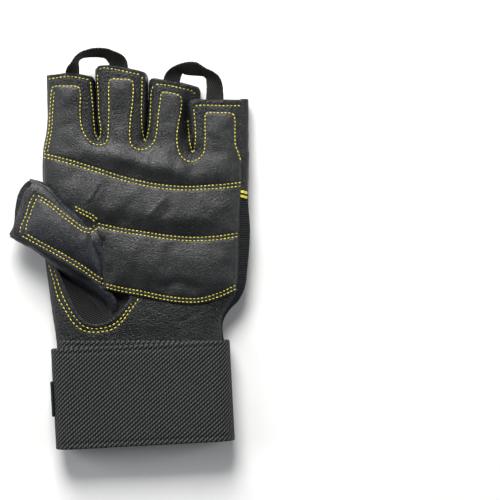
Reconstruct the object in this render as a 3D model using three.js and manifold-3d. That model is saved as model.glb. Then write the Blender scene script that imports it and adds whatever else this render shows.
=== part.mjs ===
// A left-hand fingerless weightlifting glove, lying on its back with the palm face up.
// Millimetres: +X towards the little finger, +Y towards the fingertips, +Z up off the surface.
import * as THREE from "three";
import { mergeVertices } from "three/addons/utils/BufferGeometryUtils.js";
import Module from "manifold-3d";

const wasm = await Module();
wasm.setup();

// Palm
const palmWidth = 124; // over the widest part, side strip to side strip
const palmLength = 120; // from the edge of the wrist wrap to the crotch beside the middle finger
const palmHeight = 18.5; // from the back to the bare palm leather
const palmCentreX = 9.65; // the thumb reaches past the palm on one side
const wristY = -55.9; // where the leather meets the wrap
const wall = 1.4; // leather, and the knit back
const seamGap = 0.3; // clearance between sewn pieces
const seamShare = 0.45; // height of the widest line of a stall, as a share of its height
const frontSeamShare = 0.77; // where the palm leather meets the side strips
const backSeamShare = 0.3; // where the side strips meet the back
const palmRoundness = 3; // exponent of the palm's section
const stallRoundness = 2.4; // exponent of a finger stall's section
const backFlatness = 1.18; // over 1 leaves the back lying flat

// Finger stalls
const stallReach = 45; // crotch to the open end of the middle stall
const stallRoot = 26; // how far the stalls run down inside the palm
const stallGap = 1; // slit between neighbouring stalls
const overlapLift = 7.4; // the little stall lies this high over the squashed edge of the ring stall

// Thumb stall
const thumbLength = 50;
const thumbWidth = 36;
const thumbHeight = 11.4;
const thumbAngle = (143.2 * Math.PI) / 180; // direction of the thumb in plan
const thumbRootX = -29.3;
const thumbRootY = -2.4;
const thumbRoundness = 2.3;
const thumbFrontSetBack = 3; // the front leather ends this much short of the thumb's back

// Padded overlay
const padThickness = 1.6; // at its stitch lines
const padLoft = 2.2; // how much more the padding stands up between the lines
const seamValley = 3.4; // width of the pressed band along a double stitch line
const thumbPadThickness = 1.5;

// Wrist wrap
const bandWidth = 59;
const bandThickness = 1.5;
const bandTurns = 2;
const bandTilt = (3 * Math.PI) / 180; // the outer turn lies askew by this much
const wrapWidth = 107.2; // over the outer turn
const wrapCentreX = 7.8;
const cuffThickness = 12; // glove cuff inside the wrap
const cuffLength = 37; // glove cuff hidden inside the wrap
const tabWidth = 20;
const tabThickness = 1.2;
const straightShare = 0.18; // share of one turn that half of a flat side takes
const bendShare = 0.14; // share of one turn that a side bend takes

// Pull loops
const tapeWidth = 10;
const tapeThickness = 1;

// Worked out from the sizes above
const crotchY = wristY + palmLength;
const halfPalm = palmWidth / 2;
const bandPitch = bandThickness + seamGap;
const bendRadius = cuffThickness / 2 + seamGap + bandThickness / 2;
const outerOffset = bandPitch * (bandTurns - 0.5); // mean offset of the outer turn at its two sides
const flatHalf = wrapWidth / 2 - bendRadius - outerOffset - bandThickness / 2;
const innerHalf = flatHalf - (bandWidth * Math.sin(bandTilt)) / 2; // clear of the askew outer turn
const wrapHalfHeight = bendRadius + bandPitch * bandTurns + bandThickness / 2;
const wrapCentreZ = wrapHalfHeight + seamGap / 6;
const wrapCentreY = wristY - 2.1 - bandWidth / 2;
const cuffHalf = innerHalf + cuffThickness / 2;
const cuffLow = wrapCentreZ - cuffThickness / 2;
const cuffHigh = wrapCentreZ + cuffThickness / 2;

const lerp = (a, b, t) => a + (b - a) * t;
const clamp01 = (t) => Math.min(1, Math.max(0, t));
const ease = (a, b, t) => {
  const s = clamp01((t - a) / (b - a));
  return s * s * (3 - 2 * s);
};

// Reads one column of a table at a value of its first column, along straight lines.
function tableAt(rows, key, column, value) {
  let i = 1;
  while (i < rows.length - 1 && rows[i][key] < value) i += 1;
  const a = rows[i - 1];
  const b = rows[i];
  return lerp(a[column], b[column], clamp01((value - a[key]) / (b[key] - a[key])));
}

// The same, along a smooth curve through the rows, which runs on straight past both ends.
function curveAt(rows, key, column, value) {
  let i = 1;
  while (i < rows.length - 1 && rows[i][key] < value) i += 1;
  const slope = (j) => {
    const p = rows[Math.max(0, j - 1)];
    const q = rows[Math.min(rows.length - 1, j + 1)];
    return (q[column] - p[column]) / (q[key] - p[key]);
  };
  const a = rows[i - 1];
  const b = rows[i];
  if (value <= a[key]) return a[column] + slope(i - 1) * (value - a[key]);
  if (value >= b[key]) return b[column] + slope(i) * (value - b[key]);
  const span = b[key] - a[key];
  const t = (value - a[key]) / span;
  const bend = t * t * (3 - 2 * t);
  const pull = t * (1 - t) * span * ((1 - t) * slope(i - 1) - t * slope(i));
  return lerp(a[column], b[column], bend) + pull;
}

// Closed solids

// One body through a row of rings with the same number of points, closed by a fan at each end.
function loft(rings) {
  const count = rings[0].length;
  const position = rings.flat(2);
  const index = [];
  const ringStart = (k) => k * count;
  for (let k = 0; k + 1 < rings.length; k += 1) {
    for (let i = 0; i < count; i += 1) {
      const a = ringStart(k) + i;
      const b = ringStart(k) + ((i + 1) % count);
      // The way back is split along the same lines as the way out, so thin twisted rings stay thin.
      if (i < count / 2) index.push(a, b, b + count, a, b + count, a + count);
      else index.push(a, b, a + count, b, b + count, a + count);
    }
  }
  const cap = (k, flip) => {
    const middle = rings[k].reduce((sum, p) => sum.map((v, j) => v + p[j] / count), [0, 0, 0]);
    const hub = position.length / 3;
    position.push(...middle);
    for (let i = 0; i < count; i += 1) {
      const a = ringStart(k) + i;
      const b = ringStart(k) + ((i + 1) % count);
      index.push(...(flip ? [hub, b, a] : [hub, a, b]));
    }
  };
  cap(0, true);
  cap(rings.length - 1, false);
  const geometry = new THREE.BufferGeometry();
  geometry.setAttribute("position", new THREE.Float32BufferAttribute(position, 3));
  geometry.setIndex(index);
  return solidOf(geometry);
}

// A closed geometry as a solid, with its faces turned outward.
function solidOf(geometry) {
  const bare = geometry.clone();
  bare.deleteAttribute("normal");
  bare.deleteAttribute("uv");
  const merged = mergeVertices(bare, 1e-5);
  const vertProperties = new Float32Array(merged.attributes.position.array);
  const triVerts = new Uint32Array(merged.index.array);
  const solid = new wasm.Manifold(new wasm.Mesh({ numProp: 3, vertProperties, triVerts }));
  if (solid.volume() > 0) return solid;
  for (let i = 0; i < triVerts.length; i += 3) {
    [triVerts[i + 1], triVerts[i + 2]] = [triVerts[i + 2], triVerts[i + 1]];
  }
  return new wasm.Manifold(new wasm.Mesh({ numProp: 3, vertProperties, triVerts }));
}

// An upright prism over a plan outline.
function prism(outline, low, high) {
  const shape = new THREE.Shape(outline.map(([x, y]) => new THREE.Vector2(x, y)));
  const geometry = new THREE.ExtrudeGeometry(shape, { depth: high - low, bevelEnabled: false });
  return solidOf(geometry.translate(0, 0, low));
}

const union = (solids) => solids.reduce((a, b) => a.add(b));

// Height profile of the palm and the stalls along the hand.
// along: share of palmLength from the wrap; tuck: 1 inside the wrap; high: share of palmHeight.
const profile = [
  { along: -0.31, tuck: 1, high: 0.95 },
  { along: 0.0, tuck: 1, high: 0.95 },
  { along: 0.04, tuck: 0.62, high: 0.97 },
  { along: 0.08, tuck: 0.22, high: 0.99 },
  { along: 0.13, tuck: 0, high: 1.0 },
  { along: 0.72, tuck: 0, high: 1.0 },
  { along: 0.88, tuck: 0, high: 0.95 },
  { along: 1.0, tuck: 0, high: 0.88 },
  { along: 1.14, tuck: 0, high: 0.81 },
  { along: 1.4, tuck: 0, high: 0.76 },
];
const alongAt = (y) => (y - wristY) / palmLength;
const tuckAt = (y) => tableAt(profile, "along", "tuck", alongAt(y));
const lowAt = (y) => tuckAt(y) * cuffLow;
const highAt = (y) =>
  lerp(palmHeight * tableAt(profile, "along", "high", alongAt(y)), cuffHigh, tuckAt(y));

// Plan of the palm. left and right: shares of half the palm width from its middle;
// crotch: how far the row follows the curved line of the finger crotches.
const palmRows = [
  { along: 0.03, left: -0.852, right: 0.752, crotch: 0 },
  { along: 0.07, left: -0.876, right: 0.755, crotch: 0 },
  { along: 0.155, left: -0.905, right: 0.818, crotch: 0 },
  { along: 0.2, left: -0.921, right: 0.895, crotch: 0 },
  { along: 0.26, left: -0.94, right: 0.957, crotch: 0 },
  { along: 0.36, left: -0.966, right: 0.987, crotch: 0 },
  { along: 0.52, left: -0.992, right: 1.012, crotch: 0 },
  { along: 0.7, left: -0.998, right: 0.995, crotch: 0 },
  { along: 0.8, left: -0.998, right: 0.997, crotch: 0.15 },
  { along: 0.9, left: -0.995, right: 0.998, crotch: 0.55 },
  { along: 1.0, left: -0.99, right: 1.0, crotch: 1 },
];
const crotchSlope = -0.148; // the crotches drop towards the little finger
const crotchBow = -0.341; // and bow, as a share of the half width squared

// How far the line of the crotches lies from crotchY at a place across the palm.
function crotchShift(x) {
  const across = x - palmCentreX;
  return crotchSlope * across + (crotchBow * across * across) / (2 * halfPalm);
}

// The four stalls. root and tip: left and right edge, as shares of palmWidth from the index
// side; end: share of stallReach; drop: how much lower the far corner of the end lies.
const stallTable = [
  { name: "index", root: [0.002, 0.271], tip: [0.017, 0.251], end: 0.9, drop: 0.03 },
  { name: "middle", root: [0.271, 0.498], tip: [0.251, 0.511], end: 1.0, drop: 0.06 },
  { name: "ring", root: [0.498, 0.727], tip: [0.511, 0.773], end: 0.85, drop: 0.12 },
  { name: "little", root: [0.727, 0.998], tip: [0.7, 0.999], end: 0.565, drop: 0 },
];
const stalls = stallTable.map((stall) => ({
  ...stall,
  rootLeft: stall.root[0],
  rootRight: stall.root[1],
  tipLeft: stall.tip[0],
  tipRight: stall.tip[1],
}));
const palmLeftX = palmCentreX - halfPalm;
const acrossAt = (share) => palmLeftX + share * palmWidth;
const ringEdgeX = acrossAt(0.727);
const overlapReach = 0.05 * palmWidth; // how far to each side of the slit the two stalls are pressed
const overlapStart = 0.953; // share of palmLength where the press begins
const overlapFull = 1.05; // and where it is complete
const crossingRun = 0.14; // share of palmLength over which the two edges then cross
const isPressed = (stall) => stall.name === "ring" || stall.name === "little";

// The pressed strip where the little stall lies over the ring stall.
const pressAt = (y) => ease(overlapStart, overlapFull, alongAt(y));
function stallLow(name, x, y) {
  if (name !== "little") return lowAt(y);
  const lifted = ease(1.7 * overlapReach, 0.3 * overlapReach, x - ringEdgeX);
  return overlapLift * pressAt(y) * lifted;
}
function stallHigh(name, x, y) {
  const high = highAt(y);
  if (name !== "ring") return high;
  const squash = ease(-overlapReach, 0, x - ringEdgeX);
  return high - (high - overlapLift + 2 * seamGap) * pressAt(y) * squash;
}

// A ring of a tube's section: the palm face is crowned, the back lies flat.
function tubeRing(station, inset, count, roundness) {
  const ring = [];
  const middle = (station.left + station.right) / 2;
  const half = (station.right - station.left) / 2 - inset;
  for (let i = 0; i < count; i += 1) {
    const turn = (2 * Math.PI * (i + 0.5)) / count;
    const c = Math.cos(turn);
    const s = Math.sin(turn);
    const out = Math.sign(c) * Math.abs(c) ** (2 / roundness);
    const up = Math.abs(s) ** (2 / roundness);
    const x = middle + out * half;
    const y = station.yAt(x);
    const low = station.low(x, y) + inset;
    const high = station.high(x, y) - inset;
    const share =
      s > 0
        ? seamShare + (1 - seamShare) * up * station.crown
        : seamShare * (1 - Math.min(1, up * backFlatness));
    ring.push([x, y, lerp(low, high, share)]);
  }
  return ring;
}

// The space of the same tube above a height, which is a share of the section plus a distance.
function aboveRing(station, level, columns) {
  const reach = 3 * wall;
  const left = station.left - reach;
  const right = station.right + reach;
  const floor = [];
  const roof = [];
  for (let i = 0; i <= columns; i += 1) {
    const x = lerp(left, right, i / columns);
    const y = station.yAt(x);
    const height = lerp(station.low(x, y), station.high(x, y), level.share);
    floor.push([x, y, height + level.shift]);
    roof.unshift([x, y, 2 * palmHeight]);
  }
  return [...floor, ...roof];
}

const palmSegments = 32;
const palmInsideSegments = 22;
const stallSegments = 18;
const stallInsideSegments = 14;
const pressedExtraSegments = 4;
const palmCutColumns = 4;
const pressedCutColumns = 8;

function palmStations(endShift, cuffExtra) {
  const rows = palmRows.map((row) => ({
    left: palmCentreX + row.left * halfPalm,
    right: palmCentreX + row.right * halfPalm,
    yAt: (x) => wristY + row.along * palmLength + row.crotch * (crotchShift(x) + endShift),
  }));
  const cuff = [1, 0.5, 0.04].map((tuck, k) => ({
    left: wrapCentreX - cuffHalf,
    right: wrapCentreX + cuffHalf,
    yAt: () => wristY - tuck * cuffLength - (k === 0 ? cuffExtra : 0),
  }));
  const shared = { low: (x, y) => lowAt(y), high: (x, y) => highAt(y), crown: 1 };
  return [...cuff, ...rows].map((row) => ({ ...shared, ...row }));
}

// Stations of a pressed stall: close together where the press sets in.
function pressedSteps(start, end) {
  const press = [0, 0.35, 0.65, 1].map(
    (share) => wristY + palmLength * lerp(overlapStart, overlapFull, share),
  );
  const steps = press.map((y) => (y - start) / (end - start));
  return [0, ...steps, (steps[3] + 1) / 2, 1];
}

// A stall starts lower inside the palm and swells to its full height.
const rootCrown = 0.72;
const crownAt = (step) => lerp(rootCrown, 1, ease(0, 0.5, step));

function stallStations(stall, startShift, endShift) {
  const start = crotchY - stallRoot + startShift;
  const end = crotchY + stall.end * stallReach + endShift;
  const steps = isPressed(stall) ? pressedSteps(start, end) : [0, 0.4, 0.6, 0.8, 1];
  return steps.map((step) => {
    const y = lerp(start, end, step);
    // The two edges that cross over each other part only where the press is complete.
    const crossing = ease(overlapFull, overlapFull + crossingRun, alongAt(y));
    const leftStep = stall.name === "little" ? crossing : step;
    const rightStep = stall.name === "ring" ? crossing : step;
    const left = acrossAt(lerp(stall.rootLeft, stall.tipLeft, leftStep));
    const right = acrossAt(lerp(stall.rootRight, stall.tipRight, rightStep));
    const slope = (-stall.drop * stallReach * step * step) / (right - left);
    return {
      left: left + (stall.name === "index" ? 0 : stallGap / 2),
      right: right - (stall.name === "little" ? 0 : stallGap / 2),
      yAt: (x) => y + slope * (x - left),
      low: (x, yy) => stallLow(stall.name, x, yy),
      high: (x, yy) => stallHigh(stall.name, x, yy),
      crown: crownAt(step),
    };
  });
}

const tube = (stations, inset, count, roundness) =>
  loft(stations.map((station) => tubeRing(station, inset, count, roundness)));
const above = (stations, level, columns) =>
  loft(stations.map((station) => aboveRing(station, level, columns)));

// The hand: palm and stalls, outside, inside, and grown by a clearance for what lies on them.
const palmTube = (inset, endShift, cuffExtra, count) =>
  tube(palmStations(endShift, cuffExtra), inset, count, palmRoundness);
function stallTube(stall, inset, startShift, endShift, count) {
  const segments = isPressed(stall) ? count + pressedExtraSegments : count;
  return tube(stallStations(stall, startShift, endShift), inset, segments, stallRoundness);
}
const handOutside = (grow) =>
  union([
    palmTube(-grow, grow, grow, palmSegments),
    ...stalls.map((stall) => stallTube(stall, -grow, 0, grow, stallSegments)),
  ]);
const handInside = union([
  palmTube(wall, -wall, 2 * wall, palmInsideSegments),
  ...stalls.map((stall) => stallTube(stall, wall, -wall, 3 * wall, stallInsideSegments)),
]);

// A band of the hand's wall between two heights: each tube is cut at its own heights.
const aboveFront = { share: frontSeamShare, shift: seamGap / 2 };
const belowFront = { share: frontSeamShare, shift: -seamGap / 2 };
const aboveBack = { share: backSeamShare, shift: seamGap / 2 };
const belowBack = { share: backSeamShare, shift: -seamGap / 2 };

function handBand(from, to) {
  const extra = 3 * wall;
  const pastCrotch = 9 * wall; // the palm's end is bowed, so its cut runs further on
  const band = (outside, stations, columns) => {
    const raised = from ? outside.intersect(above(stations, from, columns)) : outside;
    return to ? raised.subtract(above(stations, to, columns)) : raised;
  };
  const palmOutside = palmTube(0, 0, 0, palmSegments);
  const parts = [band(palmOutside, palmStations(pastCrotch, extra), palmCutColumns)];
  for (const stall of stalls) {
    const outside = stallTube(stall, 0, 0, 0, stallSegments);
    const columns = isPressed(stall) ? pressedCutColumns : 1;
    parts.push(band(outside, stallStations(stall, -wall, extra), columns));
  }
  return union(parts).subtract(handInside);
}

// Height of the bare leather over a place in plan.
function leatherTop(x, y) {
  const surface = (left, right, roundness, high, crown) => {
    const out = Math.abs((x - (left + right) / 2) / ((right - left) / 2));
    if (out >= 1) return 0;
    const up = (1 - out ** roundness) ** (1 / roundness);
    return lerp(lowAt(y), high, seamShare + (1 - seamShare) * up * crown);
  };
  const along = alongAt(y);
  const left = palmCentreX + halfPalm * tableAt(palmRows, "along", "left", along);
  const right = palmCentreX + halfPalm * tableAt(palmRows, "along", "right", along);
  const onPalm = y < crotchY + crotchShift(x);
  const tops = [onPalm ? surface(left, right, palmRoundness, highAt(y), 1) : 0];
  for (const stall of stalls) {
    const step = (y - crotchY + stallRoot) / (stall.end * stallReach + stallRoot);
    if (step < 0) continue;
    const stallLeft = acrossAt(lerp(stall.rootLeft, stall.tipLeft, step));
    const stallRight = acrossAt(lerp(stall.rootRight, stall.tipRight, step));
    tops.push(surface(stallLeft, stallRight, stallRoundness, highAt(y), crownAt(step)));
  }
  return Math.max(...tops);
}

// Quilting lines of the overlay: across as a share of half the palm width, height along the
// palm as a share of palmLength.
const fingerLine = [
  { across: -0.99, along: 0.94 },
  { across: -0.46, along: 0.863 },
  { across: -0.04, along: 0.799 },
  { across: 0.41, along: 0.773 },
  { across: 0.93, along: 0.792 },
];
const middleLine = [
  { across: -0.465, along: 0.59 },
  { across: -0.03, along: 0.548 },
  { across: 0.24, along: 0.525 },
  { across: 0.445, along: 0.518 },
  { across: 0.65, along: 0.522 },
  { across: 0.91, along: 0.54 },
];
const heelLine = [
  { across: -0.42, along: 0.292 },
  { across: -0.06, along: 0.252 },
  { across: 0.175, along: 0.228 },
  { across: 0.38, along: 0.213 },
  { across: 0.52, along: 0.213 },
  { across: 0.72, along: 0.242 },
  { across: 0.9, along: 0.285 },
];
const lineY = (line, x) =>
  wristY + palmLength * curveAt(line, "across", "along", (x - palmCentreX) / halfPalm);

// Finger pads of the overlay, shares of palmWidth across and of stallReach past the crotch line.
const pads = [
  { left: 0.046, right: 0.184, top: 0.73, bayFloor: -0.05 },
  { left: 0.324, right: 0.438, top: 0.81, bayFloor: -0.115 },
  { left: 0.572, right: 0.668, top: 0.63, bayFloor: -0.27 },
  { left: 0.791, right: 0.93, top: 0.375, bayFloor: 0 },
];
const overlayLeft = 0.045; // share of palmWidth
const overlayRight = 0.958;
const padInset = 1.1; // shares of the pad's own corner that the outline cuts off
const baySteps = 7;

// Plan outline of the overlay: the heel line, both sides, the four finger pads and the
// round-bottomed bays between them.
function overlayOutline() {
  const points = [];
  const heelSteps = 12;
  const from = acrossAt(0.295);
  const to = acrossAt(overlayRight - 0.012);
  for (let i = 0; i <= heelSteps; i += 1) {
    const x = lerp(from, to, i / heelSteps);
    points.push([x, lineY(heelLine, x) - seamValley / 2]);
  }
  points.push([acrossAt(overlayRight), lineY(middleLine, acrossAt(overlayRight))]);
  points.push([acrossAt(overlayRight + 0.008), crotchY - 0.25 * stallReach]);
  for (let k = pads.length - 1; k >= 0; k -= 1) {
    const pad = pads[k];
    const top = crotchY + pad.top * stallReach;
    points.push([acrossAt(pad.right), top - padInset]);
    points.push([acrossAt(pad.right) - padInset, top]);
    points.push([acrossAt(pad.left) + padInset, top]);
    points.push([acrossAt(pad.left), top - padInset]);
    if (k === 0) break;
    const bayLeft = acrossAt(pads[k - 1].right);
    const bayRight = acrossAt(pad.left);
    const radius = (bayRight - bayLeft) / 2;
    const floor = crotchY + pads[k - 1].bayFloor * stallReach;
    for (let i = 0; i <= baySteps; i += 1) {
      const turn = (Math.PI * i) / baySteps;
      points.push([bayLeft + radius + radius * Math.cos(turn), floor + radius - radius * Math.sin(turn)]);
    }
  }
  points.push([acrossAt(overlayLeft), lineY(fingerLine, palmLeftX)]);
  points.push([acrossAt(overlayLeft), thumbRootY]);
  points.push([acrossAt(0.2), thumbRootY]);
  return points;
}

// The overlay's upper face stands up between the quilting lines and is pressed down along them.
function overlayRows() {
  const lines = [heelLine, middleLine, fingerLine];
  const places = [];
  lines.forEach((line, k) => {
    places.push({ line, shift: -seamValley / 2, puff: 0 });
    places.push({ line, shift: seamValley / 2, puff: 0 });
    if (k + 1 < lines.length) {
      [0.12, 0.35, 0.65, 0.88].forEach((share) => {
        places.push({ line, next: lines[k + 1], share, puff: 1 - Math.abs(2 * share - 1) ** 3 });
      });
    }
  });
  [0.08, 0.25, 0.42, 0.6, 0.8, 1].forEach((share) => {
    places.push({ line: fingerLine, fingers: share, puff: 0.75 * ease(0, 0.25, share) });
  });
  return places;
}

function placeY(place, x) {
  const y = lineY(place.line, x);
  if (place.next) {
    const start = y + seamValley / 2;
    const end = lineY(place.next, x) - seamValley / 2;
    return lerp(start, end, place.share);
  }
  if (place.fingers) {
    return lerp(y + seamValley / 2, crotchY + stallReach, place.fingers);
  }
  return y + place.shift;
}

function overlaySolid() {
  const columns = 30;
  const left = acrossAt(overlayLeft - 0.005);
  const right = acrossAt(overlayRight + 0.015);
  const rings = overlayRows().map((place) => {
    const ring = [];
    const column = (i) => lerp(left, right, i / columns);
    for (let i = 0; i <= columns; i += 1) {
      const x = column(i);
      const y = placeY(place, x);
      const edge = ease(0, 0.07, i / columns) * ease(0, 0.07, 1 - i / columns);
      const thickness = padThickness + padLoft * place.puff * edge;
      ring.push([x, y, leatherTop(x, y) + seamGap + thickness]);
    }
    for (let i = columns; i >= 0; i -= 1) {
      const x = column(i);
      ring.push([x, placeY(place, x), palmHeight * seamShare]);
    }
    return ring;
  });
  return loft(rings);
}

// Thumb stall: shares of thumbLength along the thumb and of thumbWidth across it, for the edge
// nearer the wrist and the edge nearer the index finger; low is in shares of thumbHeight.
const thumbRows = [
  { alongHeel: -0.72, acrossHeel: -0.1, alongIndex: -0.48, acrossIndex: 0.22, low: 0.5, high: 0.62 },
  { alongHeel: -0.5, acrossHeel: -0.22, alongIndex: -0.2, acrossIndex: 0.32, low: 0.72, high: 0.85 },
  { alongHeel: -0.24, acrossHeel: -0.375, alongIndex: 0.04, acrossIndex: 0.39, low: 1.08, high: 0.95 },
  { alongHeel: 0.08, acrossHeel: -0.42, alongIndex: 0.28, acrossIndex: 0.435, low: 1.27, high: 1 },
  { alongHeel: 0.33, acrossHeel: -0.435, alongIndex: 0.5, acrossIndex: 0.455, low: 1.3, high: 1 },
  { alongHeel: 0.6, acrossHeel: -0.47, alongIndex: 0.76, acrossIndex: 0.54, low: 1.16, high: 1 },
  { alongHeel: 0.81, acrossHeel: -0.5, alongIndex: 1.01, acrossIndex: 0.49, low: 1.0, high: 1 },
];
const thumbSegments = 22;
const thumbInsideSegments = 16;
const thumbDirection = [Math.cos(thumbAngle), Math.sin(thumbAngle)];

function thumbPlace(along, across) {
  const [dx, dy] = thumbDirection;
  return [thumbRootX + dx * along + dy * across, thumbRootY + dy * along - dx * across];
}

function thumbPoint(row, inset, out, up, longer) {
  const side = (out + 1) / 2;
  const heel = row.acrossHeel * thumbWidth + inset;
  const index = row.acrossIndex * thumbWidth - inset;
  const along = lerp(row.alongHeel, row.alongIndex, side) * thumbLength + longer;
  const [x, y] = thumbPlace(along, lerp(heel, index, side));
  const low = row.low * thumbHeight + inset;
  const high = (row.low + row.high) * thumbHeight - inset;
  return [x, y, lerp(low, high, (up + 1) / 2)];
}

function thumbTube(inset, longer, count) {
  const rings = thumbRows.map((row, k) => {
    const ring = [];
    const last = k === thumbRows.length - 1;
    for (let i = 0; i < count; i += 1) {
      const turn = (2 * Math.PI * (i + 0.5)) / count;
      const c = Math.cos(turn);
      const s = Math.sin(turn);
      const out = Math.sign(c) * Math.abs(c) ** (2 / thumbRoundness);
      const up = Math.sign(s) * Math.abs(s) ** (2 / thumbRoundness);
      ring.push(thumbPoint(row, inset, out, up, last ? longer : 0));
    }
    return ring;
  });
  return loft(rings);
}

// A slab across the thumb between two levels, from -1 at its back to 1 at its front.
function thumbSlab(from, to) {
  const reach = 1.25;
  const ring = (row, longer) => [
    thumbPoint(row, 0, -reach, from, longer),
    thumbPoint(row, 0, reach, from, longer),
    thumbPoint(row, 0, reach, to, longer),
    thumbPoint(row, 0, -reach, to, longer),
  ];
  const rings = thumbRows.map((row) => ring(row, 0));
  return loft([...rings, ring(thumbRows[thumbRows.length - 1], 3 * wall)]);
}

// Everything of the thumb that lies this far or further from its open end.
function thumbShortOf(setBack) {
  const end = thumbRows[thumbRows.length - 1];
  const corner = (along, across) => thumbPlace(along * thumbLength - setBack, across * thumbWidth);
  const outline = [
    corner(end.alongHeel, end.acrossHeel),
    corner(end.alongIndex, end.acrossIndex),
    corner(end.alongIndex, 2 * end.acrossIndex),
    corner(-end.alongIndex, 2 * end.acrossIndex),
    corner(-end.alongIndex, 2 * end.acrossHeel),
    corner(end.alongHeel, 2 * end.acrossHeel),
  ];
  return prism(outline, 0, 3 * palmHeight);
}

// The thumb's plan outline, from a row of its table to its end.
function thumbOutline(firstRow, grow) {
  const rows = thumbRows.slice(firstRow);
  const heel = rows.map((row) =>
    thumbPlace(row.alongHeel * thumbLength, row.acrossHeel * thumbWidth - grow),
  );
  const index = rows.map((row) =>
    thumbPlace(row.alongIndex * thumbLength, row.acrossIndex * thumbWidth + grow),
  );
  return [...heel, ...index.reverse()];
}

// The same outline drawn in towards its middle, and cut off before the stall's open end.
function thumbPadOutline(firstRow, share, end) {
  const rows = thumbRows.slice(firstRow);
  const edge = (alongKey, acrossKey) =>
    rows.map((row) =>
      thumbPlace(Math.min(row[alongKey], end) * thumbLength, row[acrossKey] * share * thumbWidth),
    );
  return [...edge("alongHeel", "acrossHeel"), ...edge("alongIndex", "acrossIndex").reverse()];
}

// Keyhole in the palm leather below the thumb: shares of keyholeLength and keyholeWidth
// from its upper end, taken round the edge.
const keyholeX = -43.5;
const keyholeY = -9;
const keyholeLength = 38;
const keyholeWidth = 46;
const keyholeEdge = [
  { across: 0.02, down: 0.0 },
  { across: 0.02, down: 0.13 },
  { across: 0.085, down: 0.31 },
  { across: 0.17, down: 0.55 },
  { across: 0.26, down: 0.77 },
  { across: 0.37, down: 0.93 },
  { across: 0.48, down: 0.985 },
  { across: 0.61, down: 0.95 },
  { across: 0.755, down: 0.86 },
  { across: 0.92, down: 0.66 },
  { across: 0.97, down: 0.52 },
  { across: 0.86, down: 0.42 },
  { across: 0.56, down: 0.26 },
  { across: 0.25, down: 0.04 },
];

function keyholeOutline(inset) {
  const points = keyholeEdge.map((row) => [
    keyholeX + row.across * keyholeWidth,
    keyholeY - row.down * keyholeLength,
  ]);
  return points.map((point, i) => {
    const before = points[(i + points.length - 1) % points.length];
    const after = points[(i + 1) % points.length];
    const run = [after[0] - before[0], after[1] - before[1]];
    const length = Math.hypot(...run);
    return [point[0] - (inset * run[1]) / length, point[1] + (inset * run[0]) / length];
  });
}

// Wrist wrap: a band wound in a flat spiral, starting under the middle of the back.
function windingPoint(turn, offset) {
  const part = turn - Math.floor(turn + 1e-9);
  const bendEnd = straightShare + bendShare;
  const radius = bendRadius + offset;
  const half = turn < 1 ? innerHalf : flatHalf;
  let centre = 0;
  let angle = 0; // from straight down, round by the index side
  if (part < straightShare) {
    centre = (-half * part) / straightShare;
  } else if (part < bendEnd) {
    centre = -half;
    angle = (Math.PI * (part - straightShare)) / bendShare;
  } else if (part < 1 - bendEnd) {
    centre = lerp(-half, half, (part - bendEnd) / (1 - 2 * bendEnd));
    angle = Math.PI;
  } else if (part < 1 - straightShare) {
    centre = half;
    angle = Math.PI + (Math.PI * (part - 1 + bendEnd)) / bendShare;
  } else {
    centre = (half * (1 - part)) / straightShare;
    angle = 2 * Math.PI;
  }
  const normal = [-Math.sin(angle), -Math.cos(angle)];
  return { x: centre + normal[0] * radius, z: normal[1] * radius, normal };
}

function windingRing(turn, offset, width, thickness) {
  const { x, z, normal } = windingPoint(turn, offset);
  const tilt = bandTilt * ease(1, 1 + straightShare, turn);
  const corner = (across, outward) => {
    const flatX = x + normal[0] * outward;
    return [
      wrapCentreX + flatX * Math.cos(tilt) - across * Math.sin(tilt),
      wrapCentreY + flatX * Math.sin(tilt) + across * Math.cos(tilt),
      wrapCentreZ + z + normal[1] * outward,
    ];
  };
  return [
    corner(-width / 2, -thickness / 2),
    corner(width / 2, -thickness / 2),
    corner(width / 2, thickness / 2),
    corner(-width / 2, thickness / 2),
  ];
}

// Places along one turn: a few on the flat sides, more round the bends.
function windingTurns(from, to) {
  const bendEnd = straightShare + bendShare;
  const bendSteps = 9;
  const turnPlaces = [0, straightShare / 2];
  for (let i = 0; i <= bendSteps; i += 1) turnPlaces.push(straightShare + (bendShare * i) / bendSteps);
  [0.25, 0.5, 0.75].forEach((share) => turnPlaces.push(lerp(bendEnd, 1 - bendEnd, share)));
  for (let i = 0; i <= bendSteps; i += 1) turnPlaces.push(1 - bendEnd + (bendShare * i) / bendSteps);
  turnPlaces.push(1 - straightShare / 2);
  const all = [0, 1, 2].flatMap((turn) => turnPlaces.map((place) => turn + place));
  return [from, ...all.filter((turn) => turn > from + 0.004 && turn < to - 0.004), to];
}

function wristWrap() {
  const end = bandTurns - 1e-6;
  return loft(
    windingTurns(0, end).map((turn) => windingRing(turn, bandPitch * turn, bandWidth, bandThickness)),
  );
}

function hookTab() {
  const start = bandTurns + (straightShare * 2 * seamGap) / flatHalf;
  const end = bandTurns + straightShare + bendShare * 0.62;
  const lift = (bandThickness + tabThickness) / 2 + seamGap;
  return loft(
    windingTurns(start, end).map((turn) =>
      windingRing(turn, bandPitch * (turn - 1) + lift, tabWidth, tabThickness),
    ),
  );
}

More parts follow.
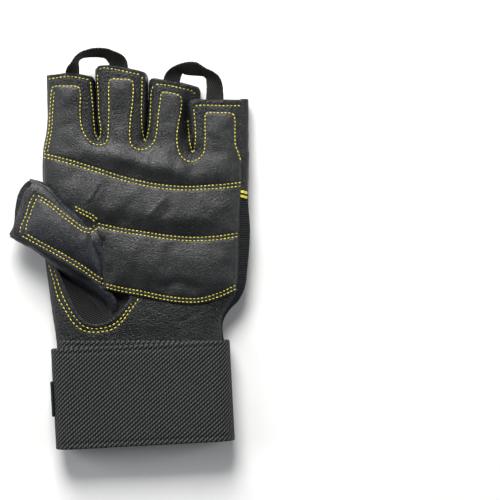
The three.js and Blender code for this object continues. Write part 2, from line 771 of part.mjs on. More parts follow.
// Pull loops: a tape from one stall to its neighbour, shares of the span between its feet
// across and of its rise along the fingers; lean: 0 lies flat, 90 stands on edge; face: which
// way the tape's width runs, in degrees from +X.
const loops = [
  {
    name: "pull_loop_index_middle",
    footX: -34.4,
    footY: 103,
    span: 28.4,
    rise: 14.8,
    route: [
      { across: 0, up: -0.7, face: 0, lean: 2 },
      { across: 0, up: 0.13, face: 0, lean: 3 },
      { across: 0.0, up: 0.34, face: 0, lean: 36 },
      { across: 0.045, up: 0.6, face: -25, lean: 48 },
      { across: 0.14, up: 0.84, face: -50, lean: 58 },
      { across: 0.3, up: 0.98, face: -75, lean: 66 },
      { across: 0.5, up: 1.0, face: -90, lean: 68 },
      { across: 0.68, up: 0.98, face: -100, lean: 64 },
      { across: 0.83, up: 0.83, face: -130, lean: 50 },
      { across: 0.94, up: 0.58, face: -160, lean: 28 },
      { across: 1.0, up: 0.42, face: -180, lean: 3 },
      { across: 1.0, up: -0.6, face: -180, lean: 2 },
    ],
  },
  {
    name: "pull_loop_ring_little",
    footX: 24.9,
    footY: 99,
    span: 25.8,
    rise: 10.4,
    route: [
      { across: 0, up: -0.9, face: 0, lean: 2 },
      { across: 0.0, up: 0.28, face: 0, lean: 3 },
      { across: 0.05, up: 0.58, face: -15, lean: 30 },
      { across: 0.19, up: 0.93, face: -50, lean: 50 },
      { across: 0.36, up: 1.0, face: -78, lean: 56 },
      { across: 0.6, up: 0.93, face: -98, lean: 54 },
      { across: 0.82, up: 0.66, face: -130, lean: 44 },
      { across: 0.95, up: 0.22, face: -158, lean: 30 },
      { across: 1.0, up: -0.4, face: -178, lean: 14 },
      { across: 1.0, up: -0.95, face: -180, lean: 3 },
      { across: 1.0, up: -1.6, face: -180, lean: 2 },
    ],
  },
];
const loopZ = palmHeight * 0.79 - wall - tapeThickness / 2 - 5.5 * seamGap; // under the front leather

function pullLoop(loop) {
  const rings = loop.route.map((stop) => {
    const x = loop.footX + stop.across * loop.span;
    const y = loop.footY + stop.up * loop.rise;
    const face = (stop.face * Math.PI) / 180;
    const lean = (stop.lean * Math.PI) / 180;
    const across = new THREE.Vector3(
      Math.cos(face) * Math.cos(lean),
      Math.sin(face) * Math.cos(lean),
      Math.sin(lean),
    );
    const along = new THREE.Vector3(-Math.sin(face), Math.cos(face), 0);
    const normal = new THREE.Vector3().crossVectors(across, along).normalize();
    const stand = Math.sin(lean) * 0.3 * tapeWidth; // a tape on edge stands up out of the stall
    const centre = new THREE.Vector3(x, y, loopZ + stand);
    const corner = (a, n) =>
      centre
        .clone()
        .addScaledVector(across, (a * tapeWidth) / 2)
        .addScaledVector(normal, (n * tapeThickness) / 2)
        .toArray();
    return [corner(-1, -1), corner(1, -1), corner(1, 1), corner(-1, 1)];
  });
  return loft(rings);
}

// Splits a solid into its bodies, from the index side to the little-finger side, without the
// slivers that a cut along a seam leaves.
const sliverVolume = 4 * wall ** 3;
function bodiesByX(solid) {
  const middleX = (body) => {
    const box = body.boundingBox();
    return (box.min[0] + box.max[0]) / 2;
  };
  const bodies = solid.decompose().filter((body) => body.volume() > sliverVolume);
  return bodies.sort((a, b) => middleX(a) - middleX(b));
}

// The piece itself, without such slivers.
const withoutSlivers = (solid) => solid.decompose().sort((a, b) => b.volume() - a.volume())[0];

// The pieces
const high = 3 * palmHeight;
const thumbOutside = thumbTube(0, 0, thumbSegments);
const thumbInside = thumbTube(wall, 3 * wall, thumbInsideSegments);
const thumbGrown = thumbTube(-seamGap, seamGap, thumbSegments);
const handGrown = handOutside(seamGap);
const keyhole = prism(keyholeOutline(0), 0, high);

const frontBand = handBand(aboveFront, null);
const palmLeather = frontBand.subtract(keyhole).subtract(thumbInside);
const thumbGusset = frontBand
  .intersect(prism(keyholeOutline(seamGap), 0, high))
  .subtract(thumbGrown);
const backPanel = handBand(null, belowBack);
const sideBand = handBand(aboveBack, belowFront);

const palmOverlay = withoutSlivers(
  overlaySolid()
    .intersect(prism(overlayOutline(), 0, high))
    .subtract(prism(thumbOutline(1, 2 * seamGap), 0, high))
    .subtract(keyhole)
    .subtract(handGrown),
);

const thumbWall = thumbOutside.subtract(thumbInside).subtract(handGrown);
const thumbFrontLevel = 0.5;
const thumbBackLevel = -0.35;
const levelGap = seamGap / thumbHeight;
const thumbFront = thumbWall
  .intersect(thumbSlab(thumbFrontLevel + levelGap, 2))
  .intersect(thumbShortOf(thumbFrontSetBack));
const thumbBack = thumbWall.intersect(thumbSlab(-2, thumbBackLevel - levelGap));
const thumbSides = thumbWall
  .intersect(thumbSlab(thumbBackLevel + levelGap, thumbFrontLevel - levelGap))
  .intersect(thumbShortOf(thumbFrontSetBack / 2));

// The padded face of the thumb, inside the double stitching along its three edges.
const thumbPadRow = 2;
const thumbPadShare = 0.72; // of the stall's own outline
const thumbPadEnd = 0.8; // share of thumbLength
const thumbOverlay = thumbTube(-seamGap - thumbPadThickness, 0, thumbSegments)
  .subtract(thumbGrown)
  .intersect(prism(thumbPadOutline(thumbPadRow, thumbPadShare, thumbPadEnd), 0, high))
  .intersect(thumbSlab(thumbFrontLevel, 2))
  .subtract(handGrown);

const [indexStrip, ...rest] = bodiesByX(sideBand);
const littleSide = rest.pop();
const fourchettes = rest;
const [thumbLowerSide, thumbUpperSide] = bodiesByX(thumbSides);

// The little-finger side strip is leather above the bar tack and knit below it.
const tackY = wristY + 0.73 * palmLength;
const sideBox = (from, to) =>
  prism(
    [
      [palmCentreX, from],
      [palmWidth, from],
      [palmWidth, to],
      [palmCentreX, to],
    ],
    -high,
    high,
  );
const belowTack = sideBox(-2 * palmLength, tackY + seamGap / 2);
const aboveTack = sideBox(tackY - seamGap / 2, 2 * palmLength);

const leather = { color: 0x2b2e30, roughness: 0.55, metalness: 0 };
const knit = { color: 0x17191a, roughness: 0.9, metalness: 0 };
const elastic = { color: 0x2f3231, roughness: 0.85, metalness: 0 };
const tape = { color: 0x33332f, roughness: 0.8, metalness: 0 };

const glove = new THREE.Group();
function addPiece(name, solid, finish) {
  const mesh = solid.getMesh();
  const geometry = new THREE.BufferGeometry();
  geometry.setAttribute("position", new THREE.BufferAttribute(mesh.vertProperties, 3));
  geometry.setIndex(new THREE.BufferAttribute(mesh.triVerts, 1));
  const piece = new THREE.Mesh(geometry, new THREE.MeshStandardMaterial(finish));
  piece.name = name;
  glove.add(piece);
}

addPiece("palm_leather", palmLeather, leather);
addPiece("back_panel", backPanel, knit);
fourchettes.forEach((body, k) =>
  addPiece(`fourchette_${stalls[k].name}_${stalls[k + 1].name}`, body, leather),
);
addPiece("index_side_strip", indexStrip, leather);
addPiece("little_side_leather", littleSide.subtract(belowTack), leather);
addPiece("side_knit", littleSide.subtract(aboveTack), knit);
addPiece("thumb_gusset", thumbGusset, knit);
addPiece("palm_overlay", palmOverlay, leather);
addPiece("thumb_front", thumbFront, leather);
addPiece("thumb_back", thumbBack, knit);
addPiece("thumb_overlay", thumbOverlay, leather);
addPiece("thumb_lower_side", thumbLowerSide, leather);
addPiece("thumb_upper_side", thumbUpperSide, leather);
addPiece("wrist_wrap", wristWrap(), elastic);
addPiece("hook_tab", hookTab(), knit);
loops.forEach((loop) => addPiece(loop.name, pullLoop(loop), tape));

// The origin lies under the middle of the whole glove, on the surface.
const box = new THREE.Box3().setFromObject(glove);
const middle = box.getCenter(new THREE.Vector3());
glove.position.set(-middle.x, -middle.y, -box.min.z);

export default glove;
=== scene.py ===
import math
import bpy
import numpy as np
from mathutils.geometry import delaunay_2d_cdt
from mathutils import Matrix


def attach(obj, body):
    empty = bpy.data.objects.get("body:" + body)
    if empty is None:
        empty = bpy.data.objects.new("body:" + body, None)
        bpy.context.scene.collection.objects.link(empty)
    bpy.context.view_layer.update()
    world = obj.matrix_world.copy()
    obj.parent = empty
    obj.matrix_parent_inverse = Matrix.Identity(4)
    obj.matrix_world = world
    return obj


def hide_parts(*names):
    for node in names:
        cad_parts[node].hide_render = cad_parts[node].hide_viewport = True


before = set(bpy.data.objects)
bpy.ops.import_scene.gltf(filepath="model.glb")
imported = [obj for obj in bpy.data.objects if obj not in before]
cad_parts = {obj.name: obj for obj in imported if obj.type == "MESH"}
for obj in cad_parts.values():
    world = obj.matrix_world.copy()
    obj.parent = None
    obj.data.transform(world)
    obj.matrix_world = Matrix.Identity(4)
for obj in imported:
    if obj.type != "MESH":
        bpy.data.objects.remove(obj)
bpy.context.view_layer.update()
print("frame loaded,", len(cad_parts), "solids")

mm = 0.001

# places read off the photograph, in its pixels, become metres in the glove's frame
photo = {"pixel": 0.6 * mm, "gloveX": 129.25, "gloveY": 248.57, "across": 500}


def place(points):
    p = np.array(points, float)
    return np.stack([p[:, 0] - photo["gloveX"], photo["gloveY"] - p[:, 1]], 1) * photo["pixel"]


def photoX(x):
    return place([(x, 0)])[0, 0]


def photoY(y):
    return place([(0, y)])[0, 1]


def px(count):
    return count * photo["pixel"]


# lines
def runOf(line):
    return np.r_[0, np.cumsum(np.linalg.norm(np.diff(line, axis=0), axis=1))]


def pointsAt(line, run, at):
    return np.stack([np.interp(at, run, column) for column in line.T], 1)


def even(line, step):
    run = runOf(line)
    count = max(2, int(round(run[-1] / step)) + 1)
    return pointsAt(line, run, np.linspace(0, run[-1], count))


def smoothThrough(stops, run, at):  # a cubic curve through points, or a sheet through whole lines
    slope = np.gradient(stops, run, axis=0)
    k = np.clip(np.searchsorted(run, at, side="right") - 1, 0, len(stops) - 2)
    column = (-1,) + (1,) * (stops.ndim - 1)
    span = (run[k + 1] - run[k]).reshape(column)
    t = (at - run[k]).reshape(column) / span
    return (
        (2 * t**3 - 3 * t**2 + 1) * stops[k]
        + (t**3 - 2 * t**2 + t) * span * slope[k]
        + (3 * t**2 - 2 * t**3) * stops[k + 1]
        + (t**3 - t**2) * span * slope[k + 1]
    )


def curved(points, step=0.5 * mm):
    p = np.array(points, float)
    run = runOf(p)
    at = np.linspace(0, run[-1], max(3, int(3 * run[-1] / step)))
    return even(smoothThrough(p, run, at), step)


def traced(points, step=0.5 * mm):  # a smooth line through places of the photograph
    return curved(place(points), step)


def leftOf(line, distance):  # the same line, moved sideways to the left of its direction
    along = np.gradient(line, axis=0)
    along /= np.linalg.norm(along, axis=1)[:, None]
    return line + distance * np.stack([-along[:, 1], along[:, 0]], 1)


def closedLoop(line):
    return np.vstack([line, line[:1]])


def awayFrom(points, line):  # distance from each point to a line
    best = np.full(len(points), 1.0)
    for a, b in zip(line[:-1], line[1:]):
        ab = b - a
        t = np.clip((points - a) @ ab / max(ab @ ab, 1e-18), 0, 1)
        gap = points - a - t[:, None] * ab
        best = np.minimum(best, gap[:, 0] ** 2 + gap[:, 1] ** 2)
    return np.sqrt(best)


def areaWithin(loop):
    x, y = loop.T
    return abs(float(x @ np.roll(y, -1) - y @ np.roll(x, -1))) / 2


def within(points, loop):
    x, y = points.T
    hit = np.zeros(len(points), bool)
    for (x0, y0), (x1, y1) in zip(loop, np.roll(loop, -1, 0)):
        if y0 != y1:
            hit ^= ((y0 > y) != (y1 > y)) & (x < (x1 - x0) * (y - y0) / (y1 - y0) + x0)
    return hit


def step01(low, high, value):
    t = np.clip((value - low) / (high - low), 0, 1)
    return t * t * (3 - 2 * t)


def roundOff(distance, width, power=2.4):  # 0 at an edge, 1 where the edge's rounding ends
    t = np.clip(distance / width, 0, 1)
    return (1 - (1 - t) ** power) ** (1 / power)


def dip(distance, width):
    return np.exp(-((distance / width) ** 2))


def ripple(points, size, seed):  # soft unevenness, from -1 to 1
    lattice = np.random.default_rng(seed).uniform(-1, 1, (64, 64))
    spot = points / size + 17.3 + seed
    cell = np.floor(spot).astype(int)
    t = spot - cell
    t = t * t * t * (t * (6 * t - 15) + 10)

    def corner(i, j):
        return lattice[(cell[:, 0] + i) % 64, (cell[:, 1] + j) % 64]

    low = corner(0, 0) * (1 - t[:, 0]) + corner(1, 0) * t[:, 0]
    high = corner(0, 1) * (1 - t[:, 0]) + corner(1, 1) * t[:, 0]
    return low * (1 - t[:, 1]) + high * t[:, 1]


def uneven(flat, waves):  # waves: the height, length and seed of each ripple
    return sum(height * ripple(flat, length, seed) for height, length, seed in waves)


def bent(top, flat, bends, step=1.5 * mm):  # bends: a line on the photograph, its height and width in mm
    for line, height, width in bends:
        top = top + height * mm * dip(awayFrom(flat, traced(line, step)), width * mm)
    return top


# sheets
netShares = {"rowStep": 0.87, "edgeClear": 0.6}


def inSheet(points, loops):
    keep = within(points, loops[0])
    for hole in loops[1:]:
        keep &= ~within(points, hole)
    return keep


def cutSheet(loops, step):  # an even net of triangles inside an outline, less its holes
    loops = [even(closedLoop(loop), step)[:-1] for loop in loops]
    low, high = loops[0].min(0), loops[0].max(0)
    rows = []
    for k, y in enumerate(np.arange(low[1], high[1], step * netShares["rowStep"])):
        x = np.arange(low[0] + (k % 2) * step / 2, high[0], step)
        rows.append(np.stack([x, np.full(len(x), y)], 1))
    net = np.vstack(rows)
    net = net[inSheet(net, loops)]
    edgeGap = np.min([awayFrom(net, closedLoop(loop)) for loop in loops], 0)
    net = net[edgeGap > netShares["edgeClear"] * step]
    points, edges = [], []
    for loop in loops:
        start = len(points)
        points += [tuple(p / mm) for p in loop]
        edges += [(start + i, start + (i + 1) % len(loop)) for i in range(len(loop))]
    points += [tuple(p / mm) for p in net]
    out = delaunay_2d_cdt(points, edges, [], 1, 1e-5)
    flat = np.array([tuple(p) for p in out[0]]) * mm
    faces = np.array([f for f in out[2] if len(f) == 3])
    faces = faces[inSheet(flat[faces].mean(1), loops)]
    a, b, c = (flat[faces[:, i]] for i in range(3))
    turned = (b - a)[:, 0] * (c - a)[:, 1] - (b - a)[:, 1] * (c - a)[:, 0] < 0
    faces[turned] = faces[turned][:, ::-1]
    used = np.unique(faces)
    renumber = np.full(len(flat), -1)
    renumber[used] = np.arange(len(used))
    return flat[used], renumber[faces]


def gridFaces(rows, columns, joined=False):
    index = np.arange(rows * columns).reshape(rows, columns)
    nextColumn = np.roll(index, -1, 1) if joined else index[:, 1:]
    here = index if joined else index[:, :-1]
    a, b = here[:-1].ravel(), nextColumn[:-1].ravel()
    c, d = nextColumn[1:].ravel(), here[1:].ravel()
    return np.vstack([np.stack([a, b, c], 1), np.stack([a, c, d], 1)])


def normalsOf(points, faces):
    a, b, c = (points[faces[:, i]] for i in range(3))
    n = np.cross(b - a, c - a)
    total = np.zeros_like(points)
    for i in range(3):
        np.add.at(total, faces[:, i], n)
    return total / np.maximum(np.linalg.norm(total, axis=1), 1e-18)[:, None]


def borderOf(faces, count):  # the edges that only one triangle has
    edges = np.vstack([faces[:, [0, 1]], faces[:, [1, 2]], faces[:, [2, 0]]])
    code = edges[:, 0] * count + edges[:, 1]
    return edges[~np.isin(edges[:, 1] * count + edges[:, 0], code)]


def thicken(points, faces, thickness, rim=4):  # gives a sheet its thickness, with rounded edges
    normal = normalsOf(points, faces)
    count = len(points)
    border = borderOf(faces, count)
    nextOne = np.full(count, -1)
    before = np.full(count, -1)
    nextOne[border[:, 0]] = border[:, 1]
    before[border[:, 1]] = border[:, 0]
    edgeVerts = np.unique(border)
    slot = np.full(count, -1)
    slot[edgeVerts] = np.arange(len(edgeVerts))
    along = points[nextOne[edgeVerts]] - points[before[edgeVerts]]
    outward = np.cross(along, normal[edgeVerts])
    outward /= np.maximum(np.linalg.norm(outward, axis=1), 1e-18)[:, None]
    thickness = np.broadcast_to(thickness, (count,))
    radius = thickness[edgeVerts][:, None] / 2
    layers = [points, points - normal * thickness[:, None]]
    for k in range(1, rim):
        turn = math.pi * k / rim
        layers.append(
            points[edgeVerts]
            + outward * radius * math.sin(turn)
            - normal[edgeVerts] * radius * (1 - math.cos(turn))
        )
    ring = [np.arange(count)]
    ring += [2 * count + (k - 1) * len(edgeVerts) + slot for k in range(1, rim)]
    ring += [count + np.arange(count)]
    quads = []
    for k in range(rim):
        a, b = ring[k][border[:, 0]], ring[k][border[:, 1]]
        c, d = ring[k + 1][border[:, 1]], ring[k + 1][border[:, 0]]
        quads += [np.stack([b, a, d], 1), np.stack([b, d, c], 1)]
    return np.vstack(layers), np.vstack([faces, faces[:, ::-1] + count] + quads)


def addPiece(name, points, faces, material, nodes=(), weave=None):
    mesh = bpy.data.meshes.new(name)
    mesh.vertices.add(len(points))
    mesh.vertices.foreach_set("co", np.ascontiguousarray(points, np.float32).ravel())
    mesh.loops.add(3 * len(faces))
    mesh.loops.foreach_set("vertex_index", faces.astype(np.int32).ravel())
    mesh.polygons.add(len(faces))
    mesh.polygons.foreach_set("loop_start", np.arange(0, 3 * len(faces), 3, dtype=np.int32))
    mesh.update(calc_edges=True)
    mesh.validate()
    mesh.polygons.foreach_set("use_smooth", np.ones(len(mesh.polygons), bool))
    if weave is not None:
        layer = mesh.attributes.new("weave", "FLOAT_VECTOR", "POINT")
        layer.data.foreach_set("vector", np.ascontiguousarray(weave, np.float32).ravel())
    mesh.materials.append(material)
    piece = bpy.data.objects.new(name, mesh)
    bpy.context.scene.collection.objects.link(piece)
    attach(piece, "root")
    if nodes:
        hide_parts(*nodes)
    return piece
def addThick(name, points, faces, thickness, material, nodes=(), weave=None):
    solid, solidFaces = thicken(points, faces, thickness)
    if weave is not None:
        edge = weave[np.unique(borderOf(faces, len(points)))]
        weave = np.vstack([weave, weave] + [edge] * ((len(solid) - 2 * len(points)) // len(edge)))
    return addPiece(name, solid, solidFaces, material, nodes, weave)
# finishes
def newFinish(name, roughness):
    material = bpy.data.materials.new(name)
    material.use_nodes = True
    tree = material.node_tree
    tree.nodes.clear()
    shader = tree.nodes.new("ShaderNodeBsdfPrincipled")
    output = tree.nodes.new("ShaderNodeOutputMaterial")
    tree.links.new(shader.outputs[0], output.inputs[0])
    shader.inputs["Roughness"].default_value = roughness
    return material, tree, shader


def addNode(tree, kind, inputs=(), **settings):
    node = tree.nodes.new("ShaderNode" + kind)
    for key, value in settings.items():
        setattr(node, key, value)
    for key, value in dict(inputs).items():
        if isinstance(value, bpy.types.NodeSocket):
            tree.links.new(value, node.inputs[key])
        else:
            node.inputs[key].default_value = value
    return node


def calc(tree, operation, a, b=0.0, c=0.0):
    return addNode(tree, "Math", {0: a, 1: b, 2: c}, operation=operation).outputs[0]


def ramp(tree, value, stops):
    node = addNode(tree, "ValToRGB", {0: value})
    elements = node.color_ramp.elements
    while len(elements) < len(stops):
        elements.new(0.5)
    for element, (at, shade) in zip(elements, stops):
        element.position = at
        element.color = (*shade, 1) if hasattr(shade, "__len__") else (shade, shade, shade, 1)
    return node.outputs[0]


def srgb(*values):
    return tuple(((v / 255 + 0.055) / 1.055) ** 2.4 if v > 10 else v / 3294 for v in values)


def wave(tree, value, pitch, shift=0.0):
    return calc(tree, "COSINE", calc(tree, "MULTIPLY_ADD", value, 2 * math.pi / pitch, shift))


def setSurface(tree, shader, look, colour, height):
    tree.links.new(colour, shader.inputs["Base Color"])
    bump = addNode(tree, "Bump", {"Height": height, "Strength": look["relief"], "Distance": look["depth"]})
    tree.links.new(bump.outputs[0], shader.inputs["Normal"])
    shader.inputs["Specular IOR Level"].default_value = look["gloss"]


# what all the leathers share; heights are shares of the look's depth
# the pebble colour stops below paint a highlight on the pebble tops and shade in the crevices between
# pebbles
grain = {"warpScale": 260.0, "warp": 0.0003, "creaseShare": 0.85, "poreScale": 2400.0, "patchScale": 38.0,
         "patches": (0.3, 0.75), "pebbleHighlightAndShade": [(0.1, 1.25), (0.75, 0.62)], "shine": 0.3, "creaseTop": 0.12,
         "crease": 1.6, "pore": 0.3, "pebble": -0.75, "sheenTint": (0.75, 0.85, 1.0, 1.0)}


def leatherFinish(name, look):
    material, tree, shader = newFinish(name, look["roughness"])
    spot = addNode(tree, "TexCoord").outputs["Object"]
    warp = addNode(tree, "TexNoise", {"Vector": spot, "Scale": grain["warpScale"], "Detail": 2.0})
    shift = {0: warp.outputs["Color"], 1: spot, "Scale": grain["warp"]}
    shifted = addNode(tree, "VectorMath", shift, operation="SCALE").outputs[0]
    moved = addNode(tree, "VectorMath", {0: shifted, 1: spot}, operation="ADD").outputs[0]
    pebbleSize = {"Vector": moved, "Scale": 1 / look["pebble"]}
    creaseSize = {"Vector": moved, "Scale": grain["creaseShare"] / look["pebble"]}
    pebbles = addNode(tree, "TexVoronoi", pebbleSize, feature="SMOOTH_F1").outputs["Distance"]
    creases = addNode(tree, "TexVoronoi", creaseSize, feature="DISTANCE_TO_EDGE").outputs["Distance"]
    poreSize = {"Vector": spot, "Scale": grain["poreScale"], "Detail": 3.0, "Roughness": 0.6}
    patchSize = {"Vector": spot, "Scale": grain["patchScale"], "Detail": 3.0, "Roughness": 0.55}
    pores = addNode(tree, "TexNoise", poreSize).outputs["Fac"]
    patches = addNode(tree, "TexNoise", patchSize).outputs["Fac"]
    tone = ramp(tree, patches, list(zip(grain["patches"], (look["dark"], look["light"]))))
    # painted light: pebble tops lightened as a painted highlight, crevices between pebbles darkened as
    # painted shade, following the bump's relief
    pebbleShading = ramp(tree, pebbles, grain["pebbleHighlightAndShade"])
    colour = addNode(tree, "MixRGB", {"Fac": 1.0, "Color1": tone, "Color2": pebbleShading}, blend_type="MULTIPLY")
    shine = calc(tree, "MULTIPLY_ADD", pebbles, grain["shine"], look["roughness"] - 0.1)
    tree.links.new(shine, shader.inputs["Roughness"])
    raised = calc(tree, "MULTIPLY", pebbles, grain["pebble"])
    raised = calc(tree, "MULTIPLY_ADD", pores, grain["pore"], raised)
    crease = calc(tree, "MINIMUM", creases, grain["creaseTop"])
    setSurface(tree, shader, look, colour.outputs[0], calc(tree, "MULTIPLY_ADD", crease, grain["crease"],
                                                           raised))
    shader.inputs["Sheen Weight"].default_value = look["sheen"]
    shader.inputs["Sheen Roughness"].default_value = 0.5
    shader.inputs["Sheen Tint"].default_value = grain["sheenTint"]
    return material


def wovenFinish(name, look):  # yarns laid out by the piece's own weave attribute, in metres
    material, tree, shader = newFinish(name, look["roughness"])
    weave = addNode(tree, "Attribute", attribute_name="weave").outputs["Vector"]
    apart = addNode(tree, "SeparateXYZ", {0: weave})
    u, v = apart.outputs[0], apart.outputs[1]
    fuzz = addNode(tree, "TexNoise", {"Vector": weave, "Scale": 900.0, "Detail": 3.0}).outputs["Fac"]
    fuzz = calc(tree, "SUBTRACT", fuzz, 0.5)
    wobble = calc(tree, "MULTIPLY", fuzz, look["wobble"])
    slant = calc(tree, "MULTIPLY_ADD", v, -2 * math.pi / look["alongPitch"], wobble)
    strand = calc(tree, "MULTIPLY_ADD", wave(tree, u, look["acrossPitch"], slant), 0.5, 0.5)
    column = wave(tree, u, look["columnPitch"], wobble)
    ridge = calc(tree, "MULTIPLY_ADD", column, look["columnShare"] / 2, 1 - look["columnShare"] / 2)
    level = calc(tree, "MULTIPLY_ADD", fuzz, 0.35, calc(tree, "MULTIPLY", strand, ridge))
    # painted light: the colour follows the yarn height, with painted shade in the gaps between yarns, the
    # yarns' own colour between, and a painted highlight on the yarn crests
    stops = [(look["gapAt"], look["gap"]), (look["gapAt"] + 0.22, look["yarn"]), (1.0, look["tip"])]
    setSurface(tree, shader, look, ramp(tree, level, stops), level)
    return material


def knitFinish(name, look):  # fine ribs across the cloth, by place in the glove
    material, tree, shader = newFinish(name, look["roughness"])
    spot = addNode(tree, "TexCoord").outputs["Object"]
    apart = addNode(tree, "SeparateXYZ", {0: spot})
    x, y = apart.outputs[0], apart.outputs[1]
    fuzz = addNode(tree, "TexNoise", {"Vector": spot, "Scale": 1300.0, "Detail": 2.0}).outputs["Fac"]
    slant = math.radians(look["angle"])
    across = calc(tree, "MULTIPLY_ADD", x, math.sin(slant), calc(tree, "MULTIPLY", y, math.cos(slant)))
    along = calc(tree, "MULTIPLY_ADD", x, math.cos(slant), calc(tree, "MULTIPLY", y, -math.sin(slant)))
    ribs = calc(tree, "MULTIPLY", wave(tree, across, look["ribPitch"]), 1 - look["loopShare"])
    height = calc(tree, "MULTIPLY_ADD", wave(tree, along, look["loopPitch"]), look["loopShare"], ribs)
    level = calc(tree, "MULTIPLY_ADD", height, 0.4, calc(tree, "MULTIPLY_ADD", fuzz, 0.5, 0.25))
    # painted shade: the colour follows the knit's height, darkening the valleys between ribs and loops to
    # the gap colour
    setSurface(tree, shader, look, ramp(tree, level, [(0.25, look["gap"]), (0.8, look["yarn"])]), level)
    return material


def specklesFinish(name, roughness, scale, stops):  # plain stuff, its tone uneven
    material, tree, shader = newFinish(name, roughness)
    spot = addNode(tree, "TexCoord").outputs["Object"]
    noise = addNode(tree, "TexNoise", {"Vector": spot, "Scale": scale}).outputs["Fac"]
    tree.links.new(ramp(tree, noise, stops), shader.inputs["Base Color"])
    return material, shader


palmLook = {"dark": srgb(11, 12, 13), "light": srgb(24, 26, 27), "roughness": 0.37, "gloss": 0.4,
            "sheen": 0.02, "pebble": 0.85 * mm, "relief": 1.0, "depth": 0.3 * mm}
hemLook = {"dark": srgb(9, 10, 11), "light": srgb(22, 24, 25), "roughness": 0.35, "gloss": 0.33,
           "sheen": 0.02, "pebble": 1.15 * mm, "relief": 1.0, "depth": 0.55 * mm}
thumbLook = {"dark": srgb(14, 15, 20), "light": srgb(28, 29, 37), "roughness": 0.36, "gloss": 0.45,
             "sheen": 0.03, "pebble": 0.8 * mm, "relief": 1.0, "depth": 0.3 * mm}
# in the woven looks, gap is painted shade between the yarns and the crest colour a painted highlight on the
# yarn tops
twillLook = {"acrossPitch": 3.0 * mm, "alongPitch": 2.5 * mm, "columnPitch": 1.5 * mm, "columnShare": 0.62,
             "wobble": 1.5, "gapAt": 0.16, "gap": srgb(6, 7, 7), "yarn": srgb(50, 53, 52),
             "tip": srgb(84, 87, 85), "roughness": 0.72, "relief": 1.0, "depth": 0.4 * mm, "gloss": 0.14}
tapeLook = {"acrossPitch": 2.2 * mm, "alongPitch": 1.7 * mm, "columnPitch": 1.1 * mm, "columnShare": 0.35,
            "wobble": 1.2, "gapAt": 0.2, "gap": srgb(20, 20, 19), "yarn": srgb(46, 46, 43),
            "tip": srgb(62, 61, 57), "roughness": 0.8, "relief": 0.7, "depth": 0.4 * mm, "gloss": 0.25}
meshLook = {"acrossPitch": 1.1 * mm, "alongPitch": 1e3, "columnPitch": 0.6 * mm, "columnShare": 0.4,
            "wobble": 0.8, "gapAt": 0.3, "gap": srgb(10, 10, 11), "yarn": srgb(34, 36, 37),
            "tip": srgb(48, 50, 52), "roughness": 0.8, "relief": 0.8, "depth": 0.4 * mm, "gloss": 0.12}
# in the knit looks, gap is painted shade in the valleys between the ribs
gussetLook = {"angle": 27, "ribPitch": 1.25 * mm, "loopPitch": 0.9 * mm, "loopShare": 0.2,
              "gap": srgb(8, 8, 9),
              "yarn": srgb(40, 41, 42), "roughness": 0.85, "relief": 0.9, "depth": 0.3 * mm, "gloss": 0.12}
backLook = {"angle": 90, "ribPitch": 1.2 * mm, "loopPitch": 0.8 * mm, "loopShare": 0.35,
            "gap": srgb(16, 16, 17),
            "yarn": srgb(44, 46, 47), "roughness": 0.85, "relief": 0.8, "depth": 0.3 * mm, "gloss": 0.12}
padLeather = leatherFinish("pad leather", palmLook)
hemLeather = leatherFinish("hem leather", hemLook)
thumbLeather = leatherFinish("thumb leather", thumbLook)
elastic = wovenFinish("twill elastic", twillLook)
tape = wovenFinish("loop tape", tapeLook)
meshCloth = wovenFinish("side mesh", meshLook)
ribbedKnit = knitFinish("ribbed knit", gussetLook)
backKnit = knitFinish("back knit", backLook)
threadStops = [(0.32, srgb(150, 138, 34)), (0.62, srgb(226, 216, 84))]
threadFinish, _ = specklesFinish("yellow thread", 0.5, 700.0, threadStops)
print("finishes made")

# the hand's shape; high and low are its top and its underside
hand = {
    "wristY": -56.1 * mm, "length": 120 * mm, "height": 18.5 * mm, "wall": 1.4 * mm,
    "cuffLow": 5.5 * mm, "cuffHigh": 17.3 * mm, "sideRound": 17 * mm, "slitRound": 11 * mm,
    "seamShare": 0.45, "backShare": 0.28, "crown": 1.3 * mm, "centreX": 9.6 * mm, "halfWidth": 62 * mm,
    "blur": (-5, -2.5, 0, 2.5, 5), "waves": [(0.22 * mm, 13 * mm, 3), (0.1 * mm, 5 * mm, 4)],
    "along": [-0.31, 0.0, 0.04, 0.08, 0.13, 0.72, 0.88, 1.0, 1.14, 1.4],
    "tuck": [1, 1, 0.62, 0.22, 0, 0, 0, 0, 0, 0],
    "high": [0.95, 0.95, 0.97, 0.99, 1.0, 1.0, 0.95, 0.88, 0.81, 0.76],
}


def alongHand(column, y):
    shares = [(y - hand["wristY"] + shift * mm) / hand["length"] for shift in hand["blur"]]
    return np.mean([np.interp(s, hand["along"], hand[column]) for s in shares], 0)


def lowAt(y):
    return alongHand("tuck", y) * hand["cuffLow"]


def highAt(y):
    tuck = alongHand("tuck", y)
    return hand["height"] * alongHand("high", y) * (1 - tuck) + hand["cuffHigh"] * tuck


def levelAt(y, share):  # a share of the way from the underside to the top
    return lowAt(y) + share * (highAt(y) - lowAt(y))


# The little stall lies over the ring stall's edge. The leather is cut out with the two drawn
# apart, and the little stall is then slid back over.
overlap = {"crotch": 152.4, "edge": 188.4, "slide": 0.3, "lift": 7.4 * mm, "reach": 6.2 * mm,
           "clear": 0.6 * mm, "pressFrom": 0.5 * mm, "pressTo": 12 * mm}


def drawnApart(points):
    return [(x + overlap["slide"] * max(0, overlap["crotch"] - y), y) for x, y in points]


partingLine = place([(202.5, 80), (202, 86), (201.6, 102), (196.9, 128), (194.5, 140), (192.6, 152.4)])
crotchY = partingLine[-1, 1]
overlapX = photoX(overlap["edge"])


def isLittle(flat):
    edge = np.interp(flat[:, 1], partingLine[::-1, 1], partingLine[::-1, 0])
    return (flat[:, 1] > crotchY) & (flat[:, 0] > edge)


def slidBack(flat):
    real = flat.copy()
    real[:, 0] -= np.where(isLittle(flat), overlap["slide"] * (flat[:, 1] - crotchY), 0)
    return real


